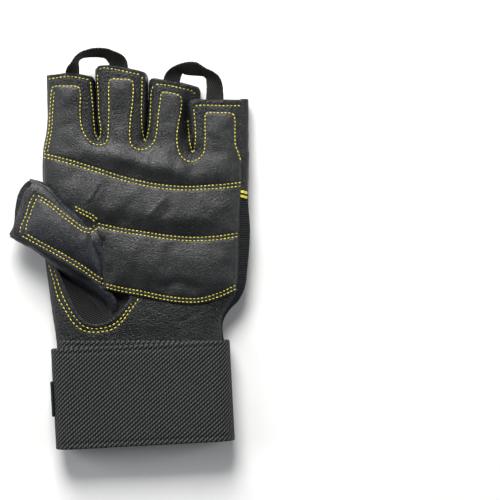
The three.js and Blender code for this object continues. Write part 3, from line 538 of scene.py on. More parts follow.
leftSide = traced([(56.9, 352), (55.7, 340), (52.6, 320), (48.2, 289), (45, 265), (43.3, 251), (42.2, 225),
                   (41.7, 200), (41.9, 182), (41.7, 160), (42.8, 145), (45, 134), (46.5, 120), (46.2, 100),
                   (45.5, 74)], 1 * mm)
rightSide = traced([(223.9, 352), (223.7, 340), (222.6, 332), (223.1, 322), (228.9, 311), (238.4, 301),
                    (244.7, 288),
                    (247.3, 269), (249.5, 244), (250, 227), (248.4, 205), (248.2, 190)], 1 * mm)
rightSide = np.vstack([rightSide, traced(drawnApart([(248.6, 150), (248.6, 98)]), 1 * mm)])
firstSlit = traced([(93.8, 66), (94, 80), (94.9, 100), (95.6, 115), (96.8, 128), (98.2, 136)], 1 * mm)
secondSlit = traced([(147.4, 72), (147.6, 85), (147.5, 100), (146.9, 118), (145.8, 130), (144.9, 138.5)],
                    1 * mm)
ringEdge = traced([(201.2, 84), (200.8, 96), (199.8, 108), (197.5, 124), (194.6, 138), (192.3, 149)],
                  1 * mm)
littleEdge = traced(drawnApart([(187.3, 97), (187.8, 106), (189.3, 117), (190.2, 128), (191.2, 140),
                                (192.4, 149)]), 1 * mm)


def pressAt(y):  # 0 at the crotch, 1 where the little stall lies full on the ring stall
    return step01(crotchY + overlap["pressFrom"], crotchY + overlap["pressTo"], y)


def undersideOf(flat):
    x, y = slidBack(flat).T
    lifted = pressAt(y) * step01(1.7 * overlap["reach"], 0.3 * overlap["reach"], x - overlapX)
    return np.where(isLittle(flat), overlap["lift"] * lifted, lowAt(y))


def thirdSlitGap(flat):
    return np.where(isLittle(flat), awayFrom(flat, littleEdge), awayFrom(flat, ringEdge))


def leatherTop(flat, detail=True):
    x, y = slidBack(flat).T
    low, high = undersideOf(flat), highAt(y)
    squash = pressAt(y) * step01(-overlap["reach"], 0, x - overlapX)
    squashed = high - (high - overlap["lift"] + overlap["clear"]) * squash
    high = np.where(isLittle(flat) | (y < crotchY), high, squashed)
    swell = roundOff(thirdSlitGap(flat), hand["slitRound"])
    for line, width in ((leftSide, "sideRound"), (rightSide, "sideRound"), (firstSlit, "slitRound"),
                        (secondSlit, "slitRound")):
        swell = swell * roundOff(awayFrom(flat, line), hand[width])
    top = low + (high - low) * (hand["seamShare"] + (1 - hand["seamShare"]) * swell)
    top -= hand["crown"] * np.clip(np.abs(x - hand["centreX"]) / hand["halfWidth"], 0, 1) ** 2
    return top + uneven(flat, hand["waves"]) if detail else top
# sewn lines, drawn in the photograph's pixels
indexHem = traced([(47, 78.6), (56, 77.6), (68, 76.2), (78, 77.4), (89, 79.6)])
firstSlitSeam = traced([(89.9, 81), (91.2, 94.7), (92.6, 109.7), (93.7, 124.6), (95.6, 135.5),
                        (98.4, 139.4),
                        (100.3, 133), (98.7, 114.6), (97.9, 94.7), (97.4, 83), (97.2, 73.5)])
middleHem = traced([(97.6, 70.2), (99.8, 68.7), (114.4, 69.3), (127.7, 72), (141, 74.6)])
secondSlitSeam = traced([(142, 76.5), (141.6, 94.7), (141.3, 114.6), (142.2, 129.6), (145, 141.4),
                         (148.8, 128),
                         (150.4, 106.3), (151.6, 90), (153, 86)])
ringHem = traced([(154.9, 84), (165.8, 85), (180.8, 88), (193.2, 91.2), (195.4, 94.5)])
thirdSlitSeam = traced([(187.2, 118), (188.3, 132), (190, 144),
                        (192.6, 152.2)] + drawnApart([(195.4, 141), (195, 123), (193.6, 107.5)]))
littleHem = traced(drawnApart([(195, 105.5), (204, 105.2), (220.6, 105.5), (240.5, 105.6)]))
littleSeam = traced(drawnApart([(240.6, 106.5), (240.8, 140)]) + [(240, 186)])
padSeam = traced(
    [(43.6, 154.7), (46.6, 140.6), (48.8, 127.6), (49.9, 106), (51.5, 90), (52.2, 87.2), (54.8, 86.4),
     (66, 86.2),
     (76.5, 86.7), (79.2, 88), (80, 91.5), (80, 112), (81, 124), (85.6, 136), (92, 143), (101, 145),
     (106, 143),
     (107.9, 137), (108.4, 128), (109, 106), (108.9, 85), (109.4, 81), (111.8, 79.4), (120, 79.4),
     (130, 80.2),
     (132.5, 81.6), (133.1, 85), (132.8, 99), (130.3, 122), (130, 138), (131.5, 145), (135.7, 148.4),
     (142.4, 149.8),
     (147.5, 148.2), (152, 144.7), (155.4, 138), (157.3, 126.5), (158.7, 112), (160.3, 101.7), (160.9, 96),
     (161.9, 93), (164.5, 92.2), (170, 93), (177.5, 94.9), (180.3, 96.4), (181.2, 99.8), (180.7, 111),
     (178.3, 124.6),
     (176.9, 138), (177.8, 147.6), (182.6, 158), (189.3, 161.6), (197, 160), (202.7, 154.3)]
    + drawnApart([(205.1, 140.9), (205.1, 120), (205.4, 115.2), (207, 113.1), (209.8, 112.7), (220, 112.9),
                  (230.5, 113.3), (233.6, 114.6), (234.6, 118), (234.9, 131), (236.2, 147.6)]) + [(239.2,
                                                                                                   156),
                                                                                                   (241.4,
                                                                                                    162)])
indexPadRow = leftOf(traced([(44.5, 153), (46.8, 140.6), (48.9, 127.6), (50, 106), (51.6, 90)]), -px(2.7))
fingerLine = traced([(43.4, 153.6), (69.4, 160.1), (97.6, 168.8), (119.3, 175.8), (141.5, 181.5),
                     (153.9, 183.9),
                     (168.3, 185.8), (187.4, 186.8), (206.5, 185.8), (225.7, 184.4), (241.2, 182.5)])
middleLine = traced([(97.3, 223.3), (119.8, 228.2), (142.2, 231.7), (170.3, 235.9), (191.4, 237.4),
                     (212.4, 236.7), (238.8, 233.1)])
heelLine = traced([(105.8, 283.7), (119.8, 287.2), (139.4, 290.7), (163.3, 295.6), (184.3, 298.4),
                   (198.4, 298.4),
                   (219.4, 292.8), (236.2, 285)])
rowGap = px(3.4)
doubleRows = [(line, leftOf(line, -rowGap)) for line in (fingerLine, middleLine, heelLine)]
keyholeOuter = traced([(48.4, 264.1), (53.3, 279.6), (58.2, 297.8), (66, 311.1), (73.7, 323), (83.5, 330.4),
                       (94, 332.2),
                       (103.1, 331.5), (113.7, 328.7), (122.1, 321.6), (130.5, 310.4), (136.1, 302.7),
                       (138.6, 297.8), (137.5, 293.4)])
keyholeInner = traced([(52.6, 264.1), (56.8, 278.2), (61.7, 292.9), (68.1, 306.2), (76.5, 318.8),
                       (83.5, 325.9),
                       (94.7, 328.7), (103.1, 328), (112.3, 325.2), (120.7, 318.8), (126.3, 311.1),
                       (131.2, 304.1), (131.9, 296.4)])

# palm leather
palm = {"step": 0.95 * mm, "groove": 0.4 * mm, "grooveWidth": 0.9 * mm, "keyholeGroove": 0.3 * mm,
        "lip": 0.5 * mm, "lipIn": 0.8 * mm, "lipWidth": 1.2 * mm,
        "folds": [([(232, 300), (224, 312), (220, 322)], -0.35, 1.3),
                  ([(226, 296), (216, 309), (210, 322)], -0.35, 1.3),
                  ([(206, 302), (196, 314), (180, 322)], -0.35, 1.3)]}

leftLine = [(57.6, 349), (56.9, 340), (53.8, 320), (49.4, 289), (46.2, 265), (44.5, 251), (43.4, 225),
            (42.9, 200),
            (43.1, 182), (42.9, 160), (44, 145), (46.2, 134), (47.7, 120), (47.4, 100), (46.7, 80),
            (46.7, 76.4)]
rightLine = [(240.9, 196), (240.2, 202), (239.4, 232), (238.6, 262), (237.6, 280), (235.8, 292), (231, 303),
             (225.4, 311.5),
             (222.4, 321), (221.7, 331), (222.4, 340), (222.6, 349)]
palmOutline = np.vstack([
    traced(leftLine), place([(48.4, 75.3)]),
    traced([(55, 75.2), (60, 74.7), (64, 74.1), (69.5, 73.8), (75, 74.3), (84, 76.1), (91, 77.5)]),
    traced([(92.3, 79), (92.7, 85), (93.5, 100), (94.2, 115), (95.4, 128), (96.6, 134.2)]),
    place([(98.1, 136.2)]),
    traced([(98.4, 133.5), (97.5, 124), (96.6, 110), (96, 95), (95.4, 80), (95.3, 70.5), (96.2, 67.8)]),
    traced([(98.8, 66.6), (105, 66.2), (118, 67.3), (128, 69.3), (140, 72), (143.6, 72.7)]),
    traced([(145, 74.5), (145.2, 82), (145.5, 100), (145.2, 118), (144.4, 130), (144.1, 136)]),
    place([(144.9, 138.6)]),
    traced([(146.2, 134), (147.6, 122), (148.9, 108), (149.7, 92), (150.1, 82), (151, 79.2)]),
    traced([(154, 78.9), (163.5, 80.8), (180, 83.3), (190, 85.5), (197.6, 87.7)]),
    traced([(199.6, 89.8), (199.6, 97), (198.8, 108), (196.4, 124), (193.6, 138), (192, 147)]),
    place([(192.3, 149.4)]),
    traced(drawnApart([(192.6, 146), (192, 138), (191.2, 128), (190.3, 117), (189, 107), (188.7, 103)])),
    traced(drawnApart([(190.2, 100.9), (195, 100.1), (205, 100.4), (222.8, 100.7), (240.8, 100.7)])),
    traced(drawnApart([(242, 102), (242, 128), (241.9, 150)]) + [(241.8, 165), (241.6, 185)] + rightLine),
])
thumbHole = [(53, 258), (55.5, 266), (58.2, 272.8), (63.1, 284), (69.5, 299), (76.5, 312.3), (84.9, 321.6),
             (93.3, 325),
             (103.1, 323.6), (114, 318), (126, 305.2), (130.6, 298), (129, 293.5), (122, 290), (112, 285),
             (104, 276),
             (97, 262), (89, 248), (80, 238), (68, 240), (58, 249), (53, 258)]
palmHole = traced(thumbHole)[:-1]
hemSeams = [indexHem, firstSlitSeam, middleHem, secondSlitSeam, ringHem, thirdSlitSeam, littleHem,
            littleSeam]
def palmSurface(flat):  # the palm leather, with the grooves that its thread lies in
    hemGap = np.min([awayFrom(flat, line) for line in hemSeams], 0)
    keyholeGap = np.minimum(awayFrom(flat, keyholeOuter), awayFrom(flat, keyholeInner))
    top = leatherTop(flat) - palm["groove"] * dip(hemGap, palm["grooveWidth"])
    return top - palm["keyholeGroove"] * dip(keyholeGap, palm["grooveWidth"])


flat, faces = cutSheet([palmOutline, palmHole], palm["step"])
lipGap = awayFrom(flat, closedLoop(palmHole)) - palm["lipIn"]
z = palmSurface(flat) + palm["lip"] * dip(lipGap, palm["lipWidth"])
z = bent(z, flat, palm["folds"], 0.5 * mm)
palmLeather = addThick("palm_leather_sewn", np.column_stack([slidBack(flat), z]), faces, hand["wall"],
                       hemLeather, ["palm_leather"])
print("palm leather cut,", len(palmLeather.data.polygons), "triangles")


# thread; a stitch is a bent tube, given by the places, thickness and lift along it
thread = {"length": 1.55 * mm, "pitch": 2.3 * mm, "width": 0.6 * mm}
keyholeThread = {"length": 1.9 * mm, "pitch": 2.7 * mm, "width": 0.62 * mm}
stitch = {"along": [-0.5, -0.36, -0.12, 0.12, 0.36, 0.5], "thick": [0.35, 0.85, 1.0, 1.0, 0.85, 0.35],
          "lift": [-0.22, 0.0, 0.14, 0.14, 0.0, -0.22], "sides": 7, "flatness": 0.8, "feel": 0.35 * mm}


def asDrawn(flat):
    return flat


def threadOf(lines, surface, size=thread, toReal=slidBack):
    points, faces = [], []
    start, rings, sides, feel = 0, len(stitch["along"]), stitch["sides"], stitch["feel"]
    turn = 2 * math.pi * np.arange(sides) / sides
    ends = [[0, k + 1, k] for k in range(1, sides - 1)]
    ends += [[(rings - 1) * sides + k for k in (0, n, n + 1)] for n in range(1, sides - 1)]
    oneStitch = np.vstack([gridFaces(rings, sides, True), ends])
    for line in lines:
        run = runOf(line)
        count = max(1, int((run[-1] - size["length"]) / size["pitch"]) + 1)
        first = (run[-1] - (count - 1) * size["pitch"]) / 2
        spread = np.array(stitch["along"]) * size["length"]
        at = first + np.arange(count)[:, None] * size["pitch"] + spread
        flat = pointsAt(line, run, at.ravel())
        z = surface(flat)
        dx = (surface(flat + [feel, 0]) - surface(flat - [feel, 0])) / (2 * feel)
        dy = (surface(flat + [0, feel]) - surface(flat - [0, feel])) / (2 * feel)
        up = np.stack([-dx, -dy, np.ones(len(z))], 1)
        up /= np.linalg.norm(up, axis=1)[:, None]
        lift = np.tile(stitch["lift"], count)[:, None] * size["width"]
        centre = np.column_stack([toReal(flat), z]) + up * lift
        along = np.gradient(centre.reshape(count, rings, 3), axis=1).reshape(-1, 3)
        along /= np.linalg.norm(along, axis=1)[:, None]
        side = np.cross(along, up)
        radius = np.tile(stitch["thick"], count)[:, None, None] * size["width"] / 2
        around = np.cos(turn)[None, :, None] * side[:, None]
        around = around + stitch["flatness"] * np.sin(turn)[None, :, None] * up[:, None]
        points.append((centre[:, None] + radius * around).reshape(-1, 3))
        each = rings * sides * np.arange(count)[:, None, None]
        faces.append((oneStitch[None] + start + each).reshape(-1, 3))
        start += rings * sides * count
    return np.vstack(points), np.vstack(faces)


def sew(name, *rows):
    points, faces = threadOf(*rows)
    return addPiece(name, points, faces, threadFinish)


sew("thread_hems", hemSeams[:-1], palmSurface)
sew("thread_keyhole", [keyholeOuter, keyholeInner], palmSurface, keyholeThread)
print("hems and keyhole sewn")

# padded overlay; its foam is blown up from a coarse net
pads = {"step": 0.85 * mm, "sheet": 1.5 * mm, "edge": 1.0, "heelEdge": 4.9, "groove": 0.45 * mm,
        "grooveWidth": 0.75 * mm, "edgeDrop": 0.45 * mm, "edgeRound": 1.6 * mm, "thinnest": 0.9 * mm,
        "thickest": 1.6 * mm, "over": 0.15 * mm, "waves": [(0.16 * mm, 16 * mm, 8), (0.07 * mm, 6 * mm, 9)],
        "net": 2.2 * mm, "held": 1.7 * mm, "rubs": 1, "pressure": 14.0, "growth": 0.02, "most": 4.0 * mm,
        "fill": 0.5}
overlayOutline = np.vstack([
    leftOf(padSeam, px(pads["edge"])),
    traced([(241, 164), (240.9, 185), (239.8, 197), (238.9, 215), (238.3, 232), (237.7, 262), (236.6, 280),
            (235.6, 289.2)]),
    leftOf(heelLine, -px(pads["heelEdge"]))[::-1],
    traced([(104.6, 286), (103.6, 275), (98.5, 258), (94, 244), (88, 234), (80, 226.5), (72, 219),
            (63, 211), (57, 201.5),
            (50, 193.5), (43.6, 188)]),
    traced([(43.3, 182), (43.1, 170), (43.2, 158)]),
])
wideLines = [leftOf(line, -rowGap / 2) for line in (fingerLine, middleLine, heelLine)]
pressed = [padSeam, indexPadRow] + wideLines
padRows = [padSeam, indexPadRow] + [row for pair in doubleRows for row in pair]
clothSolver = {"quality": 6, "mass": 0.15, "stretch": 5, "shear": 3, "bend": 2.0, "hold": 5, "frames": 20,
               "quickShare": 0.6, "quickReach": 5 * mm}


def blownUp(start, quads, holdWeights, size):  # the sheet after the cloth solver has blown it up
    scene = bpy.context.scene
    mesh = bpy.data.meshes.new("swelling")
    mesh.from_pydata(start.tolist(), [], quads.tolist())
    body = bpy.data.objects.new("swelling", mesh)
    scene.collection.objects.link(body)
    hold = body.vertex_groups.new(name="hold")
    for i, weight in enumerate(holdWeights):
        if weight > 0:
            hold.add([i], float(weight), "REPLACE")
    cloth = body.modifiers.new("blow", "CLOTH")
    settings = cloth.settings
    settings.quality = clothSolver["quality"]
    settings.mass = clothSolver["mass"]
    settings.tension_stiffness = settings.compression_stiffness = clothSolver["stretch"]
    settings.shear_stiffness = clothSolver["shear"]
    settings.bending_stiffness = clothSolver["bend"]
    settings.vertex_group_mass = "hold"
    settings.pin_stiffness = clothSolver["hold"]
    settings.use_pressure = True
    settings.uniform_pressure_force = size["pressure"]
    settings.shrink_min = -size["growth"]
    settings.effector_weights.gravity = 0
    cloth.collision_settings.use_self_collision = False
    cloth.point_cache.frame_start = 1
    cloth.point_cache.frame_end = clothSolver["frames"]
    for frameNumber in range(1, clothSolver["frames"] + 1):
        scene.frame_set(frameNumber)
    done = body.evaluated_get(bpy.context.evaluated_depsgraph_get())
    moved = np.array([v.co for v in done.data.vertices])
    bpy.data.objects.remove(body)
    bpy.data.meshes.remove(mesh)
    scene.frame_set(1)
    return moved
def swollen(outline, height, pinLines, size):  # how far the pad stands up, as a function of place
    low, high = outline.min(0), outline.max(0)
    step = size["net"]
    xs = np.arange(low[0] - step, high[0] + 2 * step, step)
    ys = np.arange(low[1] - step, high[1] + 2 * step, step)
    gx, gy = np.meshgrid(xs, ys)
    flat = np.stack([gx.ravel(), gy.ravel()], 1)
    rows, columns = gx.shape
    inside = within(flat, outline)
    rise = np.zeros(len(flat))
    gap = np.min([awayFrom(flat, line) for line in pinLines + [closedLoop(outline)]], 0)
    index = np.arange(rows * columns).reshape(rows, columns)
    quads = np.stack([index[:-1, :-1], index[:-1, 1:], index[1:, 1:], index[1:, :-1]], -1).reshape(-1,
                                                                                                   4)
    quads = quads[inside[quads].all(1)]
    used = np.unique(quads)
    renumber = np.full(len(flat), -1)
    renumber[used] = np.arange(len(used))
    start = np.column_stack([slidBack(flat[used]), height(flat[used])])
    moved = blownUp(start, renumber[quads], np.clip(1.35 - gap[used] / size["held"], 0, 1), size)
    rise[used] = np.maximum((moved - start)[:, 2], 0)
    print("   swollen by up to", round(float(rise.max() / mm), 2), "mm")
    rise = size["most"] * np.tanh(rise / size["most"])
    net = rise.reshape(rows, columns)
    for _ in range(size["rubs"]):  # the leather over the foam smooths small folds away
        net = (np.roll(net, 1, 0) + 2 * net + np.roll(net, -1, 0)) / 4
        net = (np.roll(net, 1, 1) + 2 * net + np.roll(net, -1, 1)) / 4

    def weightsAt(s):  # a cubic spline's four weights
        middle = [3 * s**3 - 6 * s**2 + 4, -3 * s**3 + 3 * s**2 + 3 * s + 1]
        return np.stack([(1 - s) ** 3, middle[0], middle[1], s**3]) / 6

    def sample(points):
        spot = (points - [xs[0], ys[0]]) / step
        cell = np.clip(np.floor(spot).astype(int), 1, [columns - 3, rows - 3])
        t = np.clip(spot - cell, 0, 1)
        wx, wy = weightsAt(t[:, 0]), weightsAt(t[:, 1])
        total = np.zeros(len(points))
        for i in range(4):
            for j in range(4):
                total += wy[i] * wx[j] * net[cell[:, 1] + i - 1, cell[:, 0] + j - 1]
        return total

    return sample


def overlayBase(flat):
    return leatherTop(flat, False) + pads["sheet"]


padSwell = swollen(overlayOutline, overlayBase, pressed, pads)
wrinkles = [  # ridges and dents of the worn leather
    ([(99, 184), (95, 192), (90, 200)], 0.45, 1.3), ([(104, 190), (99, 198)], 0.25, 1.2),
    ([(104, 241), (112, 262), (111, 278)], -0.5, 2.6),
    ([(88, 148), (104, 153), (124, 158), (150, 165), (178, 169)], 1.5, 5.6),
    ([(108, 208), (130, 213), (170, 219), (212, 220)], 0.55, 5.2), ([(239, 150), (239.5, 178)], 0.35, 1.2),
    ([(165, 199), (158, 206), (150, 215)], 0.35, 1.5), ([(172, 208), (164, 216)], -0.25, 1.6),
    ([(150, 152), (147, 165)], 0.3, 1.2), ([(236, 122), (231, 130), (238, 142)], 0.3, 1.2),
    ([(165, 286), (180, 283), (195, 288)], -0.7, 3.2), ([(60, 92), (68, 100), (72, 112)], 0.3, 2.5),
    ([(226, 270), (232, 255), (234, 240)], 0.3, 2.0),
]


def overlayTop(flat):
    top = overlayBase(flat) + padSwell(flat)
    top = bent(top + uneven(flat, pads["waves"]), flat, wrinkles)
    return top - pads["groove"] * dip(np.min([awayFrom(flat, row) for row in padRows], 0),
                                      pads["grooveWidth"])


flat, faces = cutSheet([overlayOutline], pads["step"])
edgeGap = awayFrom(flat, closedLoop(overlayOutline))
z = overlayTop(flat) - pads["edgeDrop"] * (1 - roundOff(edgeGap, pads["edgeRound"]))
thickness = np.clip(z - leatherTop(flat) - pads["over"], pads["thinnest"], pads["thickest"])
overlay = addThick("palm_pads", np.column_stack([slidBack(flat), z]), faces, thickness,
                   padLeather, ["palm_overlay"])
sew("thread_pads", padRows, overlayTop)
print("pads swollen, quilted and sewn,", len(overlay.data.polygons), "triangles")

# thumb; along is a share of its length, low and high are heights in mm
thumb = {
    "root": (80.4, 252.9), "angle": 143.2, "length": 50 * mm, "width": 36 * mm, "slant": 0.24,
    "blur": (-0.08, -0.04, 0, 0.04, 0.08), "step": 0.7 * mm, "sideRound": 9 * mm, "wall": 1.3 * mm,
    "pad": 0.9 * mm, "padRound": 3.2 * mm, "groove": 0.35 * mm, "grooveWidth": 0.75 * mm,
    "waves": [(0.12 * mm, 9 * mm, 21), (0.07 * mm, 4 * mm, 22)],
    "net": 2.0 * mm, "held": 2.2 * mm, "rubs": 2, "pressure": 3.0, "growth": 0.01, "most": 1.2 * mm,
    "fill": 0.4,
    "along": [-0.72, -0.5, -0.24, 0.08, 0.33, 0.6, 0.81, 1.1],
    "low": [5.7, 8.2, 12.3, 14.5, 14.8, 13.2, 11.4, 11.0],
    "high": [13.6, 18.4, 22.8, 25.0, 25.0, 23.6, 22.0, 21.6],
}
thumbLow = traced([(108, 300), (96, 293), (79.6, 282.7), (59.7, 269.5), (43.1, 257), (33.2, 249.6),
                   (15.8, 240.4), (5, 234)], 1 * mm)
thumbUp = traced([(22, 175), (30.7, 178.7), (42.3, 182.8), (50.5, 189), (58.5, 198), (65.8, 207),
                  (74.6, 214.7), (84, 223), (96, 228)], 1 * mm)


def thumbShare(flat):
    turn = math.radians(thumb["angle"])
    ahead = np.array([math.cos(turn), math.sin(turn)])
    offset = flat - place([thumb["root"]])[0]
    along = offset @ ahead / thumb["length"]
    across = offset @ np.array([ahead[1], -ahead[0]]) / thumb["width"]
    return along - thumb["slant"] * np.clip((across + 0.45) / 0.9, 0, 1)


def thumbTop(flat):
    shares = [thumbShare(flat) + shift for shift in thumb["blur"]]
    low, high = (np.mean([np.interp(s, thumb["along"], thumb[c]) for s in shares], 0) * mm for c in ("low",
                                                                                                     "high"))
    swell = roundOff(awayFrom(flat, thumbLow), thumb["sideRound"])
    swell = swell * roundOff(awayFrom(flat, thumbUp), thumb["sideRound"])
    return low + (high - low) * (0.5 + 0.5 * swell)


thumbTipOuter = traced([(35.6, 194), (30.7, 203), (26.5, 216.4), (21.4, 228.8), (21.1, 234.2)])
thumbTipInner = traced([(38.4, 197.5), (35.6, 203), (31.4, 214.7), (27.4, 226), (26.8, 232)])
thumbLowOuter = traced([(22.5, 235.6), (36.5, 243.3), (51.4, 251.2), (66.3, 259.5), (82.9, 269.9),
                        (98.7, 281.1), (105.4, 284.6)])
thumbLowInner = traced([(28, 234.3), (38.4, 240.2), (53.2, 248.1), (68.1, 256.3), (84.6, 266.6),
                        (99.2, 277), (107.3, 281.4)])
thumbUpOuter = traced([(37.7, 195.3), (45, 199), (53.1, 204), (61.3, 211), (73, 219.7), (79.6, 224.7),
                       (86.2, 228.6), (91.7, 228.8), (95.4, 224.4)])
thumbUpInner = traced([(40.6, 199.6), (51.4, 206.8), (59.4, 213.6), (71.1, 222.4), (78, 227.6),
                       (84.9, 231.8), (91.6, 232.4), (97.8, 228.4)])
thumbSeams = [thumbTipOuter, thumbTipInner, thumbLowOuter, thumbLowInner, thumbUpOuter, thumbUpInner]

thumbOutline = np.vstack([
    traced([(31, 187.6), (27, 191.5), (23.6, 202), (20.3, 212), (14.8, 229), (14.2, 233.5)]),
    traced([(15.6, 235.6), (21, 238), (35, 245.6), (50, 254), (65, 262.4), (81.6, 273), (95.5, 282.6),
            (104.5, 287.4)]),
    traced([(107.5, 286.5), (108, 274), (106.6, 258), (101.5, 243), (97.5, 232)]),
    traced([(95.5, 227.5), (91, 227), (86, 226.8), (80.5, 222.6), (74.6, 216.8), (66.5, 210), (58.6, 200.8),
            (50, 191.6), (42.5, 185.6), (33.5, 183.5)]),
])
thumbBent = [([(91.2, 234.6), (95, 247), (99.5, 262), (103, 275.3)], -0.8, 1.5),
             ([(86, 240), (89, 254), (95, 268)], 0.35, 2.2),
             ([(60, 222), (66, 236), (70, 250)], 0.25, 3.0), ([(93, 240), (100, 252)], 0.3, 1.4)]


def thumbFace(flat):
    inner = np.min([awayFrom(flat, line) for line in thumbSeams], 0)
    pad = thumb["pad"] * (1 - np.exp(-((inner / thumb["padRound"]) ** 1.6))) + thumbSwell(flat)
    top = thumbTop(flat) + uneven(flat, thumb["waves"]) + np.where(within(flat, thumbPadLoop), pad, 0)
    return bent(top, flat, thumbBent) - thumb["groove"] * dip(inner, thumb["grooveWidth"])


thumbPadEdge = traced([(108, 279), (106.6, 258), (101.5, 243), (97.8, 230)])
thumbPadLoop = np.vstack([thumbTipInner, thumbLowInner, thumbPadEdge, thumbUpInner[::-1]])
thumbSwell = swollen(thumbPadLoop, thumbTop, [thumbTipInner], thumb)
flat, faces = cutSheet([thumbOutline], thumb["step"])
thumbPiece = addThick("thumb_padded_front", np.column_stack([flat, thumbFace(flat)]), faces, thumb["wall"],
                      thumbLeather, ["thumb_front", "thumb_overlay"])

crotchRows = [traced([(75.5, 209.8), (83.7, 214.3), (92, 218.6), (96, 222.4)]),
              traced([(75, 206.4), (84.6, 211.2), (93.6, 215.6), (98.2, 219.6)])]
sew("thread_thumb", thumbSeams, thumbFace, thread, asDrawn)
sew("thread_thumb_crotch", crotchRows, overlayTop)
print("thumb padded and sewn")


def guide(points, count):  # (x, y) in the photograph's pixels and a height in mm
    p = np.array(points, float)
    line = curved(np.column_stack([place(p[:, :2]), p[:, 2] * mm]), 0.4 * mm)
    run = runOf(line)
    return pointsAt(line, run, np.linspace(0, run[-1], count))


def loftPiece(name, lines, across, thickness, material, nodes=(), crease=0.0):
    lines = np.array(lines)
    grid = smoothThrough(lines, np.linspace(0, 1, len(lines)), np.linspace(0, 1, across))
    rows, columns = grid.shape[:2]
    points = grid.reshape(-1, 3)
    faces = gridFaces(rows, columns)
    if crease:
        creases = ripple(points[:, :2] + points[:, 2:3], 3 * mm, 31)
        points = points + normalsOf(points, faces) * (crease * creases)[:, None]
    u = np.linspace(0, runOf(grid[0])[-1], columns)
    v = np.linspace(0, runOf(grid[:, columns // 2])[-1], rows)
    weave = np.stack(np.meshgrid(u, v), -1).reshape(-1, 2)
    weave = np.column_stack([weave, np.zeros(rows * columns)])
    return addThick(name, points, faces, thickness, material, nodes, weave)


# lower side of the thumb: a strip that rolls down into the keyhole
lowerRoll = {"stops": 120, "across": 14, "thickness": -1.0 * mm, "crease": 0.12 * mm, "rows": [
    [(13.4, 234.5, 17.5), (20, 238.5, 19), (35, 246.4, 21), (50, 254.8, 21.5), (65, 263, 21.5),
     (81.6, 272.6, 21),
           (95, 281, 20), (105, 287.5, 18.8), (112, 293, 17.4), (117, 301, 16), (118, 310, 14.8),
           (114, 318, 13.6)],
    [(11, 236, 17), (18.5, 240.2, 18), (34, 248.2, 20), (48.5, 257, 20.6), (63, 266, 20.8),
     (79, 274.8, 20.6),
           (92.5, 283, 19.8), (102, 290.5, 18.8), (109, 297.5, 17.6), (112.6, 304, 16.5), (113, 311, 15.2),
           (109, 319.5, 13.8)],
    [(9.4, 236.4, 15.4), (16.5, 240.9, 16), (32.5, 249.6, 17.6), (46, 259, 18.4), (60, 268.6, 18.8),
     (75, 277.6, 18.8),
           (88.5, 286.4, 18.2), (98, 293.8, 17.4), (105, 300.6, 16.4), (108.8, 307, 15.2), (109, 313, 14.2),
           (105.8, 320, 13.2)],
    [(10, 236.2, 12.8), (17.5, 240.4, 13.4), (33.5, 249.2, 14.4), (46.5, 258.6, 14.8), (58.8, 270, 15.2),
     (71.5, 279.4, 15.2),
           (83.5, 287.4, 14.6), (93.4, 294.6, 13.8), (100.4, 301, 13.2), (104, 307.5, 12.6),
           (104.6, 313.5, 12.2), (102.6, 320, 12)],
]}
# upper side of the thumb, bulging beside the palm
upperRoll = {"stops": 80, "across": 12, "thickness": 1.0 * mm, "crease": 0.15 * mm, "rows": [
    [(32.5, 186, 19), (42.5, 187.6, 20.5), (50, 193.4, 21.5), (58.6, 202.4, 22), (66.5, 211.6, 22),
     (74.6, 218.4, 21.6), (82, 225, 21), (88, 229.5, 20)],
    [(31.4, 180.8, 18.6), (42.2, 183.6, 19.8), (50.6, 189.2, 20.8), (59, 198.4, 21.2), (66.8, 208, 21.2),
     (75.2, 215, 21), (83, 222, 20.6), (88.6, 227, 19.6)],
    [(30.8, 178.8, 16), (42.3, 182.2, 17), (51, 187.6, 18.4), (60, 196.4, 19.2), (68, 206.2, 19.6),
     (76.4, 213.4, 19.8), (84.4, 220.4, 19.6), (89.4, 225.6, 19)],
    [(31.4, 179.6, 12.8), (42.6, 182.6, 14.4), (52, 188, 16.6), (61.6, 196.2, 17.8), (69.8, 205.6, 18.4),
     (78, 212.6, 18.8), (85.6, 219.8, 19), (90, 225, 18.6)],
]}
for name, roll, node in (("thumb_lower_roll", lowerRoll, "thumb_lower_side"),
                         ("thumb_upper_roll", upperRoll, "thumb_upper_side")):
    guides = [guide(row, roll["stops"]) for row in roll["rows"]]
    loftPiece(name, guides, roll["across"], roll["thickness"], thumbLeather, [node],
              roll["crease"])

# back of the thumb, which reaches a little past the front's open edge
thumbBack = {"step": 1.3 * mm, "thickness": 1.2 * mm, "rimRise": 3.4 * mm, "rimRound": 8 * mm,
             "waves": [(0.1 * mm, 6 * mm, 5)]}
thumbBackOutline = np.vstack([
    traced([(30.9, 180.4), (27.9, 182), (22.4, 187.4), (19.2, 193), (16, 207), (13.4, 228), (9.8, 234.6)]),
    traced([(10.6, 236.6), (16.4, 239.6), (33.6, 248.6), (44, 256), (60, 268), (79, 281)]),
    traced([(90, 276), (97, 262), (96, 246), (88, 231)]),
    traced([(82, 223.6), (74, 216), (66, 208.4), (58.4, 198.6), (50, 190.4), (42, 184.2), (33, 180.6)]),
])
flat, faces = cutSheet([thumbBackOutline], thumbBack["step"])
low = np.interp(thumbShare(flat), thumb["along"], thumb["low"]) * mm
rimGap = np.minimum(awayFrom(flat, thumbLow), awayFrom(flat, thumbUp))
z = low + thumbBack["rimRise"] * (1 - roundOff(rimGap, thumbBack["rimRound"])) + uneven(flat,
                                                                                        thumbBack["waves"])
addThick("thumb_back_leather", np.column_stack([flat, z]), faces[:, ::-1], thumbBack["thickness"],
         hemLeather, ["thumb_back"])
print("thumb closed")

